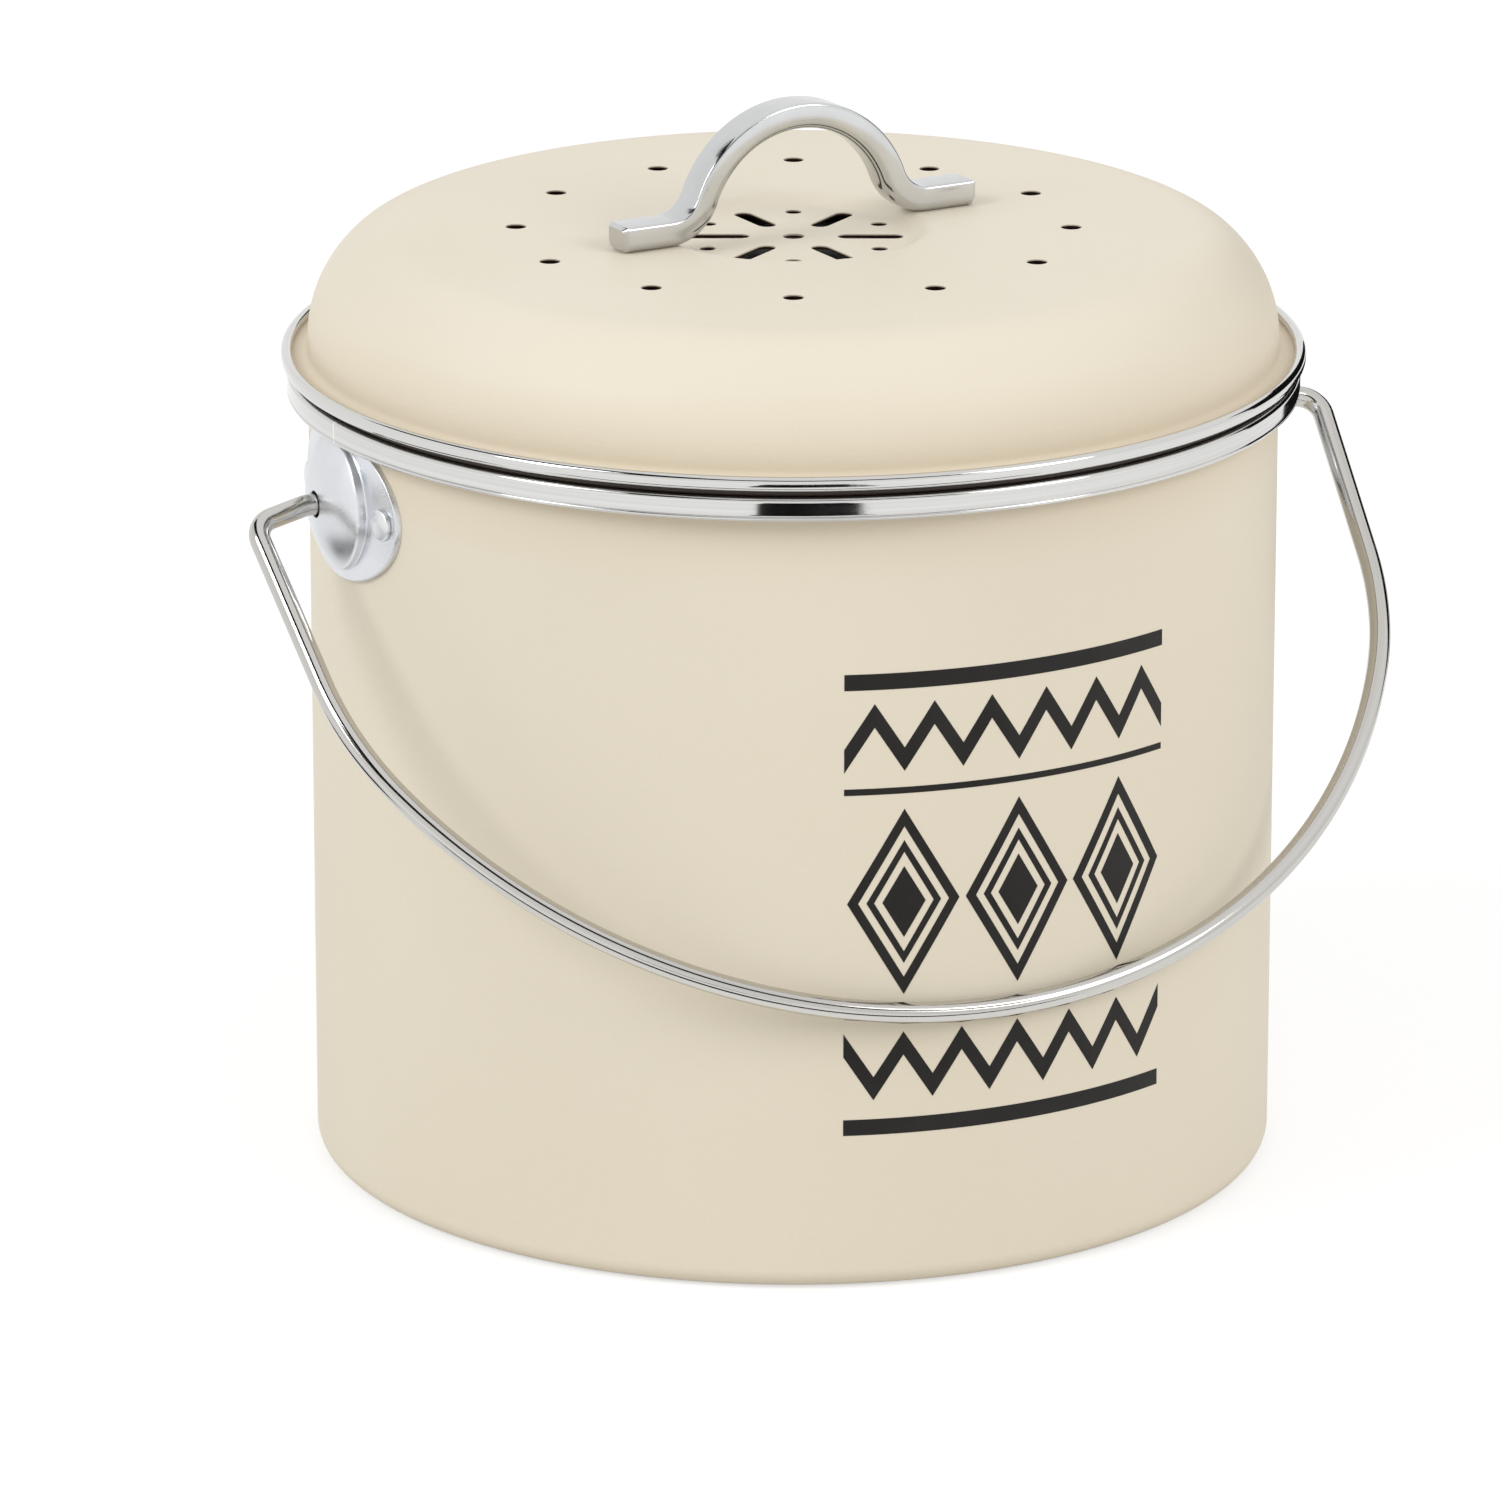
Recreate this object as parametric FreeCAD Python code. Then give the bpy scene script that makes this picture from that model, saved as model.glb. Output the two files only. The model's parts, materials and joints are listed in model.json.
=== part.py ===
import FreeCAD, Part
import math
import os

from FreeCAD import Vector

# Kitchen compost bin: a coated sheet-metal pail with a lift-out liner, a vented lid and a wire bail.
# Sizes are in millimetres. The origin is the centre of the base on the worktop and +Z is up.
# The front of the pail faces -Y, and the two ears stand on -X and +X.

# Pail wall and base
rim_z = 150.4              # top face of the steel hoop on the pail's mouth
pail_r = 90.0              # outside of the straight wall
pail_t = 1.0               # coated sheet
foot_round = 3.5           # outside radius where the wall turns under
foot_w = 10.0              # from the wall's outside to the inner edge of the turned-under foot
base_t = 0.8               # base disc
base_fit = 0.1             # base disc to the foot's inner curve
base_step = 2.0            # height of the pressed step in the base disc
base_step_inset = 4.0      # step from the foot's inner edge

# Hoop on the pail's mouth
hoop_t = 0.8
hoop_h = 4.0               # outer face, from the lower lip to the top
hoop_overhang = 4.0        # outer face beyond the wall
hoop_shoulder = 1.5        # rounding of the upper outer edge
hoop_lip = 0.7             # rounding of the lower outer edge
hoop_leg = 6.0             # depth of the leg inside the wall
hoop_fit = 0.05            # hoop to the wall

# Ears
ear_hang = 0.4             # boss below the hoop
ear_half_w = 22.0
ear_half_h = 14.1
ear_t = 1.0
ear_fit = 0.05             # ear plate to the wall
ear_top_gap = 0.3          # cropped top of the plate below the hoop
boss_margin = 1.7          # foot of the domed boss inside the plate's lower edge
boss_h = 4.75              # boss above the plate
boss_skirt = 0.9           # upright part of the boss at its foot
boss_clear = 0.45          # wire to the hole in the boss
rivet_share = 0.52         # rivet between the boss's foot and the ear's end
rivet_shank_r = 1.6
rivet_head_r = 3.0
rivet_head_h = 1.2
rivet_tail_r = 2.4
rivet_tail_h = 0.9
rivet_fit = 0.03           # shank to the holes in plate and wall

# Bail
wire_r = 2.0
bail_drop = 122.9          # bail axis to the middle of the bow
bail_reach = 12.2          # corner of the wire beyond the boss
bail_kink_r = 6.0          # bend where the wire leaves the boss
bail_kink_deg = 15.0
bail_kink_out = 0.8        # start of that bend outside the boss
bail_corner_r = 4.5
bail_lean_deg = 4.3        # legs lean inwards
bail_shoulder_r = 67.0     # bend from leg to bow
bail_swell = 3.0           # bow radius beyond the half span
bail_head_r = 3.4          # upset end inside the boss
bail_head_t = 1.4
bail_head_gap = 0.7        # upset end to the boss, along the axis
bail_rest_gap = 0.3        # hanging bow to the wall

# Lift-out liner
liner_flange_t = 1.3
liner_flange_inset = 1.2   # flange edge inside the hoop's outer face
liner_t = 1.6
liner_gap = 1.55           # liner to the hoop's inner leg
liner_taper = 4.0          # radius lost from mouth to bottom
liner_lift = 7.0           # underside above the worktop
liner_round = 8.0          # outside radius of the bottom edge
liner_edge = 0.5           # rounding of the flange edge

# Lid shell
lid_turn_deg = 6.0         # lid as it lies, turned from the line of the ears
lid_t = 0.8
lid_h = 24.3               # lid's top above its seat
lid_shoulder = 17.0        # width of the dome's shoulder
lid_side = 1.6             # upright part of the dome between its hollow and its shoulder
lid_foot_round = 1.5       # hollow at the foot of the dome
dish_r = 26.0
dish_depth = 1.8
dish_round = 4.0

# Steel bead round the lid
bead_overhang = 1.0        # bead beyond the hoop's outer face
bead_h = 2.7
bead_w = 2.0
bead_lip_t = 0.35          # lip folded under the lid's edge
bead_lip_w = 4.0
bead_bottom_round = 1.0
bead_wall = 0.7            # steel outside the lid's edge
bead_fit = 0.05

# Vents in the lid
vent_ring_r = 51.3
vent_ring_count = 12
vent_hole_r = 1.9
vent_centre_r = 1.75
vent_star_r = 18.3         # circle of the small holes
vent_star_hole_r = 1.35
vent_star_count = 6
vent_slot_in = 8.5
vent_slot_out = 20.0
vent_slot_w = 2.6

# Skirt that keeps the lid on the mouth
skirt_t = 0.6
skirt_gap = 0.8            # skirt to the liner's mouth
skirt_depth = 11.0         # below the lid's seat
skirt_rise = 1.3           # web above the lid's seat
skirt_flange_h = 6.0       # welded flange up the dome's inside
skirt_fit = 0.05

# Handle on the lid
grip_w = 7.0
grip_t = 5.0
grip_end = 5.7             # end of the bar beyond the screw
grip_rise = 24.0           # top of the arch above the lid
grip_arch_r = 21.0         # centre line of the arch
grip_bend_r = 8.0          # centre line of the bend into each foot
grip_top_round = 0.6
grip_under_round = 2.0
screw_dish_gap = 1.8       # washer to the edge of the dish
screw_r = 1.5
screw_depth = 3.4          # thread in the handle's foot
screw_fit = 0.05
screw_head_r = 2.8
screw_head_h = 1.9
washer_r = 4.0
washer_t = 0.6
washer_clear = 0.25        # screw to the washer and to the hole in the lid

# Filter under the lid
filter_inset = 13.0        # pad's edge inside the lid's flat top
filter_t = 6.0
filter_gap = 0.5           # pad to the holder's wall
holder_t = 1.6
holder_floor_t = 2.0
holder_head_gap = 0.8      # holder below the screw heads
holder_rise = 1.0          # holder's wall above the pad
holder_hole_r = 6.4
holder_inner_share = 0.333  # circle of the inner holes, as a share of the pad's radius
holder_inner_count = 6
holder_outer_share = 0.717  # circle of the outer holes
holder_outer_count = 14
holder_grip_l = 44.0
holder_grip_w = 3.0
holder_grip_h = 8.0
lug_count = 3
lug_reach = 4.0
lug_t = 2.0
lug_deg = 10.0
lug_drop = 1.8             # lug below the top of the holder's wall
tab_t = 0.8
tab_w = 10.0
tab_gap = 0.6              # tab's leg to the lug
tab_tongue_gap = 0.8       # tongue to the holder's wall
tab_flange = 5.0           # flange welded to the lid
tab_start_deg = 90.0

# Places that follow from the sizes above
up = Vector(0, 0, 1)
across = Vector(1, 0, 0)
middle = Vector(0, 0, 0)
through = 40.0                                  # longer than any wall that a cut goes through
past = 1.0                                      # how far a cutter starts before the face it opens
ring_flats = 4                                  # flats that each small round of a narrow ring is made of
hoop_r = pail_r + hoop_overhang
hoop_inner_r = pail_r - pail_t - hoop_fit - hoop_t
hoop_under_z = rim_z - hoop_h
boss_r = ear_half_h - boss_margin
ear_z = hoop_under_z - ear_hang - boss_r        # bail's axis
rivet_reach = boss_r + rivet_share * (ear_half_w - boss_r)
plate_in = pail_r + ear_fit
plate_out = plate_in + ear_t
boss_top = plate_out + boss_h
seat_z = rim_z + liner_flange_t                 # lid's seat on the liner
liner_top_r = hoop_inner_r - liner_gap
liner_mouth_r = liner_top_r - liner_t
ledge_z = seat_z + bead_lip_t + bead_fit        # underside of the lid's edge
bead_r = hoop_r + bead_overhang
dome_r = pail_r                                 # the dome is as wide as the pail
flat_r = dome_r - lid_shoulder                  # edge of the lid's flat top
lid_top_z = seat_z + lid_h
hollow_z = ledge_z + lid_t + lid_foot_round     # top of the hollow at the dome's foot
shoulder_z = hollow_z + lid_side
shoulder_h = lid_top_z - shoulder_z
diagonal = math.sqrt(0.5)                       # the shoulder's two arcs meet at 45 degrees
shoulder_upper_r = (diagonal * lid_shoulder - (1 - diagonal) * shoulder_h) / (2 * diagonal - 1)
shoulder_lower_r = (diagonal * shoulder_h - (1 - diagonal) * lid_shoulder) / (2 * diagonal - 1)
grip_top_z = lid_top_z + grip_rise
screw_u = dish_r + screw_dish_gap + washer_r    # screw from the middle of the handle
grip_half = screw_u + grip_end
lid_under_z = lid_top_z - lid_t
bail_rest = math.asin((pail_r + wire_r + bail_rest_gap) / bail_drop)
screw_head_z = lid_under_z - washer_t - screw_head_h
filter_r = flat_r - filter_inset
holder_r = filter_r + filter_gap + holder_t
holder_top_z = screw_head_z - holder_head_gap
filter_z = holder_top_z - holder_rise - filter_t
holder_z = filter_z - holder_floor_t
lug_z = holder_top_z - lug_drop - lug_t


class Outline:
    """A closed outline in the r-z half plane, drawn from point to point."""

    def __init__(self, r, z):
        self.start = Vector(r, 0, z)
        self.here = self.start
        self.edges = []

    def line(self, r, z):
        there = Vector(r, 0, z)
        self.edges.append(Part.LineSegment(self.here, there).toShape())
        self.here = there
        return self

    def arc(self, centre_r, centre_z, r, z):
        """Arc about a centre to (r, z), the short way round."""
        centre = Vector(centre_r, 0, centre_z)
        there = Vector(r, 0, z)
        radius = (self.here - centre).Length
        halfway = (self.here - centre) + (there - centre)
        halfway.normalize()
        self.edges.append(Part.Arc(self.here, centre + halfway * radius, there).toShape())
        self.here = there
        return self

    def flats(self, centre_r, centre_z, r, z):
        """A round to (r, z) made of short flats, for a round that is tiny beside its ring."""
        spoke = self.here - Vector(centre_r, 0, centre_z)
        end = Vector(r - centre_r, 0, z - centre_z)
        begin = math.atan2(spoke.z, spoke.x)
        sweep = math.remainder(math.atan2(end.z, end.x) - begin, 2 * math.pi)
        for k in range(1, ring_flats):
            angle = begin + sweep * k / ring_flats
            self.line(centre_r + spoke.Length * math.cos(angle), centre_z + spoke.Length * math.sin(angle))
        return self.line(r, z)

    def wire(self):
        if (self.here - self.start).Length > 1e-9:
            self.line(self.start.x, self.start.z)
        return Part.Wire(self.edges)

    def turned(self):
        """The solid of revolution about the Z axis."""
        return Part.Face(self.wire()).revolve(middle, up, 360)


def about_z(shape, degrees):
    turned = shape.copy()
    turned.rotate(middle, up, degrees)
    return turned


def ring_of(shape, count, start_degrees=0.0):
    """Copies of a shape spread evenly about the Z axis."""
    return [about_z(shape, start_degrees + 360.0 * k / count) for k in range(count)]


def upright(r, z, height, x=0.0, y=0.0):
    """A cylinder along +Z."""
    return Part.makeCylinder(r, height, Vector(x, y, z), up)


def pail_wall():
    foot_inner = pail_r - foot_w
    bend = pail_r - foot_round
    outline = Outline(foot_inner, 0)
    outline.line(bend, 0).arc(bend, foot_round, pail_r, foot_round)
    outline.line(pail_r, rim_z - hoop_t).line(pail_r - pail_t, rim_z - hoop_t)
    outline.line(pail_r - pail_t, foot_round).arc(bend, foot_round, bend, pail_t)
    outline.line(foot_inner, pail_t)
    wall = outline.turned()
    for side in (-1, 1):
        for turn in rivet_axes(side):
            wall = wall.cut(radial_pin(turn, pail_r - pail_t - past, through, rivet_shank_r + rivet_fit))
    return wall


def pail_base():
    edge = pail_r - foot_round - base_fit
    step = pail_r - foot_w - base_step_inset
    low = pail_t
    high = pail_t + base_step
    outline = Outline(0, high)
    outline.line(step - base_step, high).line(step, low).line(edge, low)
    outline.line(edge, low + base_t).line(step, low + base_t)
    outline.line(step - base_step, high + base_t).line(0, high + base_t)
    return outline.turned()


def rim_hoop():
    leg_out = hoop_inner_r + hoop_t
    under_top = rim_z - hoop_t
    outer_in = hoop_r - hoop_t
    lip_r = pail_r + hoop_fit
    outline = Outline(leg_out, rim_z - hoop_leg)
    outline.line(leg_out, under_top).line(outer_in, under_top)
    outline.line(outer_in, hoop_under_z + hoop_t).line(lip_r, hoop_under_z + hoop_t)
    outline.line(lip_r, hoop_under_z).line(hoop_r - hoop_lip, hoop_under_z)
    outline.flats(hoop_r - hoop_lip, hoop_under_z + hoop_lip, hoop_r, hoop_under_z + hoop_lip)
    outline.line(hoop_r, rim_z - hoop_shoulder)
    outline.flats(hoop_r - hoop_shoulder, rim_z - hoop_shoulder, hoop_r - hoop_shoulder, rim_z)
    outline.line(leg_out, rim_z).flats(leg_out, under_top, hoop_inner_r, under_top)
    outline.line(hoop_inner_r, rim_z - hoop_leg)
    return outline.turned()


def boss_solid(top, radius, skirt_x):
    """Round boss along X: an upright skirt to skirt_x, then a spherical cap up to top."""
    rise = top - skirt_x
    ball = (radius ** 2 + rise ** 2) / (2 * rise)
    half_angle = math.asin(radius / ball) / 2
    rim = Vector(skirt_x, 0, radius)
    crown = Vector(top - ball + ball * math.cos(half_angle), 0, ball * math.sin(half_angle))
    apex = Vector(top, 0, 0)
    floor_x = plate_in - boss_r
    edges = [
        Part.LineSegment(Vector(floor_x, 0, 0), Vector(floor_x, 0, radius)).toShape(),
        Part.LineSegment(Vector(floor_x, 0, radius), rim).toShape(),
        Part.Arc(rim, crown, apex).toShape(),
        Part.LineSegment(apex, Vector(floor_x, 0, 0)).toShape(),
    ]
    return Part.Face(Part.Wire(edges)).revolve(middle, across, 360)


def rivet_axes(side):
    """Turn about Z of each rivet of an ear, from the ear's own direction."""
    spread = math.degrees(rivet_reach / pail_r)
    ear_direction = 0.0 if side > 0 else 180.0
    return [ear_direction - spread, ear_direction + spread]


def radial_pin(turn, start_r, length, radius):
    """A cylinder at the height of the bail's axis, pointing away from the Z axis."""
    pin = Part.makeCylinder(radius, length, Vector(start_r, 0, ear_z), across)
    return about_z(pin, turn)


def ear(side):
    oval = Part.Ellipse(middle, ear_half_w, ear_half_h).toShape()
    blank = Part.Face(Part.Wire([oval])).extrude(up * through)
    blank.rotate(middle, up, 90)
    blank.rotate(middle, Vector(0, 1, 0), 90)
    blank.translate(Vector(pail_r - through / 2, 0, 0))
    low = -ear_half_h - past
    tall = 2 * (ear_half_h + past)
    shell = Part.makeCylinder(plate_out, tall, Vector(0, 0, low), up)
    shell = shell.cut(Part.makeCylinder(plate_in, tall, Vector(0, 0, low), up))
    boss = boss_solid(boss_top, boss_r, plate_out + boss_skirt)
    cavity = boss_solid(boss_top - ear_t, boss_r - ear_t, plate_out + boss_skirt - ear_t)
    plate = shell.common(blank).fuse(boss).cut(cavity)
    plate = plate.cut(Part.makeCylinder(plate_in, tall, Vector(0, 0, low), up))
    plate = plate.cut(Part.makeCylinder(wire_r + boss_clear, through, Vector(pail_r, 0, 0), across))
    crop_z = hoop_under_z - ear_top_gap - ear_z
    plate = plate.cut(Part.makeBox(through, 3 * ear_half_w, ear_half_h,
                                   Vector(pail_r - through / 2, -1.5 * ear_half_w, crop_z)))
    plate = plate.removeSplitter()
    plate.translate(up * ear_z)
    plate = about_z(plate, 0 if side > 0 else 180)
    for turn in rivet_axes(side):
        plate = plate.cut(radial_pin(turn, pail_r - pail_t, through, rivet_shank_r + rivet_fit))
    return plate.Solids[0]


def rivet(turn):
    """Round head outside the plate, shank through plate and wall, flat tail inside."""
    seat = plate_out
    inside = math.sqrt((pail_r - pail_t) ** 2 - rivet_tail_r ** 2)
    rise = rivet_head_h
    ball = (rivet_head_r ** 2 + rise ** 2) / (2 * rise)
    half_angle = math.asin(rivet_head_r / ball) / 2
    apex_x = seat + rise
    crown = Vector(apex_x - ball + ball * math.cos(half_angle), 0, ball * math.sin(half_angle))
    points = [
        Vector(inside - rivet_tail_h, 0, 0),
        Vector(inside - rivet_tail_h, 0, rivet_tail_r),
        Vector(inside, 0, rivet_tail_r),
        Vector(inside, 0, rivet_shank_r),
        Vector(seat, 0, rivet_shank_r),
        Vector(seat, 0, rivet_head_r),
    ]
    edges = [Part.LineSegment(a, b).toShape() for a, b in zip(points, points[1:])]
    edges.append(Part.Arc(points[-1], crown, Vector(apex_x, 0, 0)).toShape())
    edges.append(Part.LineSegment(Vector(apex_x, 0, 0), points[0]).toShape())
    body = Part.Face(Part.Wire(edges)).revolve(middle, across, 360)
    body.translate(up * ear_z)
    return about_z(body, turn)


def ear_rivets(side):
    return Part.makeCompound([rivet(turn) for turn in rivet_axes(side)])


def bail_half_path():
    """Centre line of one half of the bail, from inside the boss to the middle of the bow.

    It lies in a plane: s runs outwards along the bail's axis and t runs down the legs.
    """
    kink = math.radians(bail_kink_deg)
    leg = math.radians(90 + bail_lean_deg)
    half_span = boss_top + bail_reach
    bow_r = half_span + bail_swell
    bow_t = bail_drop - bow_r
    start = Vector(boss_top - ear_t - bail_head_gap - bail_head_t, 0, 0)
    kink_from = Vector(boss_top + bail_kink_out, 0, 0)
    kink_mid = kink_from + arc_step(bail_kink_r, 0, kink / 2)
    kink_to = kink_from + arc_step(bail_kink_r, 0, kink)
    corner_s = half_span - bail_corner_r * (1 - math.sin(kink))
    run = (corner_s - kink_to.x) / math.cos(kink)
    corner_from = kink_to + heading(kink) * run
    corner_mid = corner_from + arc_step(bail_corner_r, kink, (kink + leg) / 2)
    corner_to = corner_from + arc_step(bail_corner_r, kink, leg)
    bow_centre = Vector(0, bow_t, 0)
    base = corner_to + heading(leg + math.pi / 2) * bail_shoulder_r - bow_centre
    along = base.dot(heading(leg))
    room = along ** 2 - base.dot(base) + (bow_r - bail_shoulder_r) ** 2
    leg_run = -along + math.sqrt(room)
    shoulder_from = corner_to + heading(leg) * leg_run
    shoulder_centre = shoulder_from + heading(leg + math.pi / 2) * bail_shoulder_r
    outward = shoulder_centre - bow_centre
    bow_from_angle = math.atan2(outward.y, outward.x)
    bow_from = bow_centre + heading(bow_from_angle) * bow_r
    shoulder_end = bow_from_angle + math.pi / 2
    shoulder_mid = shoulder_from + arc_step(bail_shoulder_r, leg, (leg + shoulder_end) / 2)
    bow_half = bow_centre + heading((bow_from_angle + math.pi / 2) / 2) * bow_r
    bow_middle = Vector(0, bail_drop, 0)
    return [
        ("line", start, kink_from),
        ("arc", kink_from, kink_mid, kink_to),
        ("line", kink_to, corner_from),
        ("arc", corner_from, corner_mid, corner_to),
        ("line", corner_to, shoulder_from),
        ("arc", shoulder_from, shoulder_mid, bow_from),
        ("arc", bow_from, bow_half, bow_middle),
    ]


def heading(angle):
    return Vector(math.cos(angle), math.sin(angle), 0)


def arc_step(radius, from_angle, to_angle):
    """Move along an arc whose direction turns from one angle to another."""
    return heading(from_angle + math.pi / 2) * radius - heading(to_angle + math.pi / 2) * radius


def bail_handle():
    half = bail_half_path()

    def placed(point, side):
        return Vector(side * point.x, 0, -point.y)

    edges = []
    for kind, *points in half:
        spots = [placed(p, 1) for p in points]
        edges.append((Part.LineSegment if kind == "line" else Part.Arc)(*spots).toShape())
    for kind, *points in reversed(half):
        spots = [placed(p, -1) for p in reversed(points)]
        edges.append((Part.LineSegment if kind == "line" else Part.Arc)(*spots).toShape())
    path = Part.Wire(edges)
    start = placed(half[0][1], 1)
    section = Part.Wire([Part.makeCircle(wire_r, start, across)])
    wire = path.makePipeShell([section], True, False)
    for side in (-1, 1):
        end = placed(half[0][1], side)
        wire = wire.fuse(Part.makeCylinder(bail_head_r, bail_head_t, end, across * side))
    wire = wire.removeSplitter()
    print("bail wire: length %.1f, volume %.0f, section times length %.0f"
          % (path.Length, wire.Volume, math.pi * wire_r ** 2 * path.Length))
    wire.rotate(middle, across, -math.degrees(bail_rest))
    wire.translate(up * ear_z)
    return wire.Solids[0]


def inner_bucket():
    flange_r = hoop_r - liner_flange_inset
    bottom_r = liner_top_r - liner_taper
    mouth_edge = liner_t / 2
    curve_z = liner_lift + liner_round
    outline = Outline(0, liner_lift)
    outline.line(bottom_r - liner_round, liner_lift)
    outline.arc(bottom_r - liner_round, curve_z, bottom_r, curve_z)
    outline.line(liner_top_r, rim_z).line(flange_r - liner_edge, rim_z)
    outline.arc(flange_r - liner_edge, rim_z + liner_edge, flange_r, rim_z + liner_edge)
    outline.line(flange_r, seat_z - liner_edge)
    outline.arc(flange_r - liner_edge, seat_z - liner_edge, flange_r - liner_edge, seat_z)
    outline.line(liner_mouth_r + mouth_edge, seat_z)
    outline.arc(liner_mouth_r + mouth_edge, seat_z - mouth_edge, liner_mouth_r, seat_z - mouth_edge)
    outline.line(bottom_r - liner_t, curve_z)
    outline.arc(bottom_r - liner_round, curve_z, bottom_r - liner_round, liner_lift + liner_t)
    outline.line(0, liner_lift + liner_t)
    return outline.turned()


def slot_cut(r_in, r_out, width, z, height):
    """A round-ended slot along X from r_in to r_out, as a cutter along +Z."""
    half = width / 2
    bar = Part.makeBox(r_out - r_in - width, width, height, Vector(r_in + half, -half, z))
    ends = [upright(half, z, height, x) for x in (r_in + half, r_out - half)]
    return bar.fuse(ends)


def lid_shell():
    edge_r = bead_r - bead_wall - bead_fit
    top_of_edge = ledge_z + lid_t
    hollow_r = dome_r + lid_foot_round
    floor_z = lid_top_z - dish_depth
    floor_r = dish_r - math.sqrt((2 * dish_round) ** 2 - (2 * dish_round - dish_depth) ** 2)
    rim_c = Vector(dish_r, 0, lid_top_z - dish_round)
    floor_c = Vector(floor_r, 0, floor_z + dish_round)
    slant = (floor_c - rim_c) * (1 / (2 * dish_round))
    upper = rim_c + slant * dish_round
    lower = rim_c + slant * (dish_round - lid_t)
    upper_c = Vector(flat_r, 0, lid_top_z - shoulder_upper_r)
    lower_c = Vector(dome_r - shoulder_lower_r, 0, shoulder_z)
    meet = upper_c + Vector(diagonal, 0, diagonal) * shoulder_upper_r
    meet_under = upper_c + Vector(diagonal, 0, diagonal) * (shoulder_upper_r - lid_t)
    outline = Outline(edge_r, top_of_edge)
    outline.line(hollow_r, top_of_edge).arc(hollow_r, hollow_z, dome_r, hollow_z)
    outline.line(dome_r, shoulder_z).arc(lower_c.x, lower_c.z, meet.x, meet.z)
    outline.arc(upper_c.x, upper_c.z, flat_r, lid_top_z)
    outline.line(dish_r, lid_top_z).arc(rim_c.x, rim_c.z, upper.x, upper.z)
    outline.arc(floor_c.x, floor_c.z, floor_r, floor_z).line(0, floor_z)
    outline.line(0, floor_z - lid_t).line(floor_r, floor_z - lid_t)
    outline.arc(floor_c.x, floor_c.z, lower.x, lower.z).arc(rim_c.x, rim_c.z, dish_r, lid_under_z)
    outline.line(flat_r, lid_under_z).arc(upper_c.x, upper_c.z, meet_under.x, meet_under.z)
    outline.arc(lower_c.x, lower_c.z, dome_r - lid_t, shoulder_z)
    outline.line(dome_r - lid_t, hollow_z).arc(hollow_r, hollow_z, hollow_r, ledge_z)
    outline.line(edge_r, ledge_z)
    shell = outline.turned()
    base = lid_under_z - dish_depth - past
    cuts = [upright(vent_centre_r, base, through)]
    cuts += ring_of(upright(vent_hole_r, base, through, vent_ring_r), vent_ring_count)
    cuts += ring_of(upright(vent_star_hole_r, base, through, vent_star_r), vent_star_count)
    slot = slot_cut(vent_slot_in, vent_slot_out, vent_slot_w, base, through)
    cuts += ring_of(slot, vent_star_count, 180.0 / vent_star_count)
    cuts += [upright(screw_r + washer_clear, base, through, side * screw_u) for side in (-1, 1)]
    return shell.cut(cuts).Solids[0]


def lid_rim_ring():
    inner_r = bead_r - bead_w
    crown = bead_w / 2
    top_z = seat_z + bead_h
    slot_low = ledge_z - bead_fit
    slot_high = ledge_z + lid_t + bead_fit
    slot_r = bead_r - bead_wall
    outline = Outline(bead_r - bead_lip_w, seat_z)
    outline.line(bead_r - bead_bottom_round, seat_z)
    outline.flats(bead_r - bead_bottom_round, seat_z + bead_bottom_round, bead_r, seat_z + bead_bottom_round)
    outline.line(bead_r, top_z - crown)
    outline.flats(bead_r - crown, top_z - crown, bead_r - crown, top_z)
    outline.flats(bead_r - crown, top_z - crown, inner_r, top_z - crown)
    outline.line(inner_r, slot_high).line(slot_r, slot_high)
    outline.line(slot_r, slot_low).line(bead_r - bead_lip_w, slot_low)
    return outline.turned()


def lid_locating_ring():
    """Z-shaped ring: skirt in the liner's mouth, web, and a flange that leans in with the dome's inside."""
    skirt_r = liner_mouth_r - skirt_gap
    flange_r = dome_r - lid_t - skirt_fit
    web_z = seat_z + skirt_rise
    end_z = web_z + skirt_flange_h
    above = max(end_z - shoulder_z, 0.0)
    lean = shoulder_lower_r - lid_t - math.sqrt((shoulder_lower_r - lid_t) ** 2 - above ** 2)
    end_r = flange_r - lean
    outline = Outline(skirt_r - skirt_t, seat_z - skirt_depth)
    outline.line(skirt_r, seat_z - skirt_depth).line(skirt_r, web_z).line(flange_r, web_z)
    outline.line(end_r, end_z).line(end_r - skirt_t, end_z)
    outline.line(flange_r - skirt_t, web_z + skirt_t).line(skirt_r - skirt_t, web_z + skirt_t)
    return outline.turned()


def grip_section(u, z):
    """Outline of the bar across its length: flat top with crisp edges, well rounded underneath."""
    half = grip_w / 2
    low = z - grip_t / 2
    high = z + grip_t / 2
    side = half - grip_under_round
    top = half - grip_top_round

    def corner(y, centre_z, radius, way_y, way_z):
        start = Vector(u, y, centre_z + way_z * radius)
        bulge = Vector(u, y + way_y * radius * diagonal, centre_z + way_z * radius * diagonal)
        end = Vector(u, y + way_y * radius, centre_z)
        return Part.Arc(start, bulge, end).toShape()

    arcs = [
        corner(side, low + grip_under_round, grip_under_round, 1, -1),
        corner(top, high - grip_top_round, grip_top_round, 1, 1),
        corner(-top, high - grip_top_round, grip_top_round, -1, 1),
        corner(-side, low + grip_under_round, grip_under_round, -1, -1),
    ]
    lines = [
        ((half, low + grip_under_round), (half, high - grip_top_round)),
        ((top, high), (-top, high)),
        ((-half, high - grip_top_round), (-half, low + grip_under_round)),
        ((-side, low), (side, low)),
    ]
    edges = []
    for arc, (a, b) in zip(arcs, lines):
        edges += [arc, Part.LineSegment(Vector(u, *a), Vector(u, *b)).toShape()]
    return Part.Wire(Part.__sortEdges__(edges))


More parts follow.
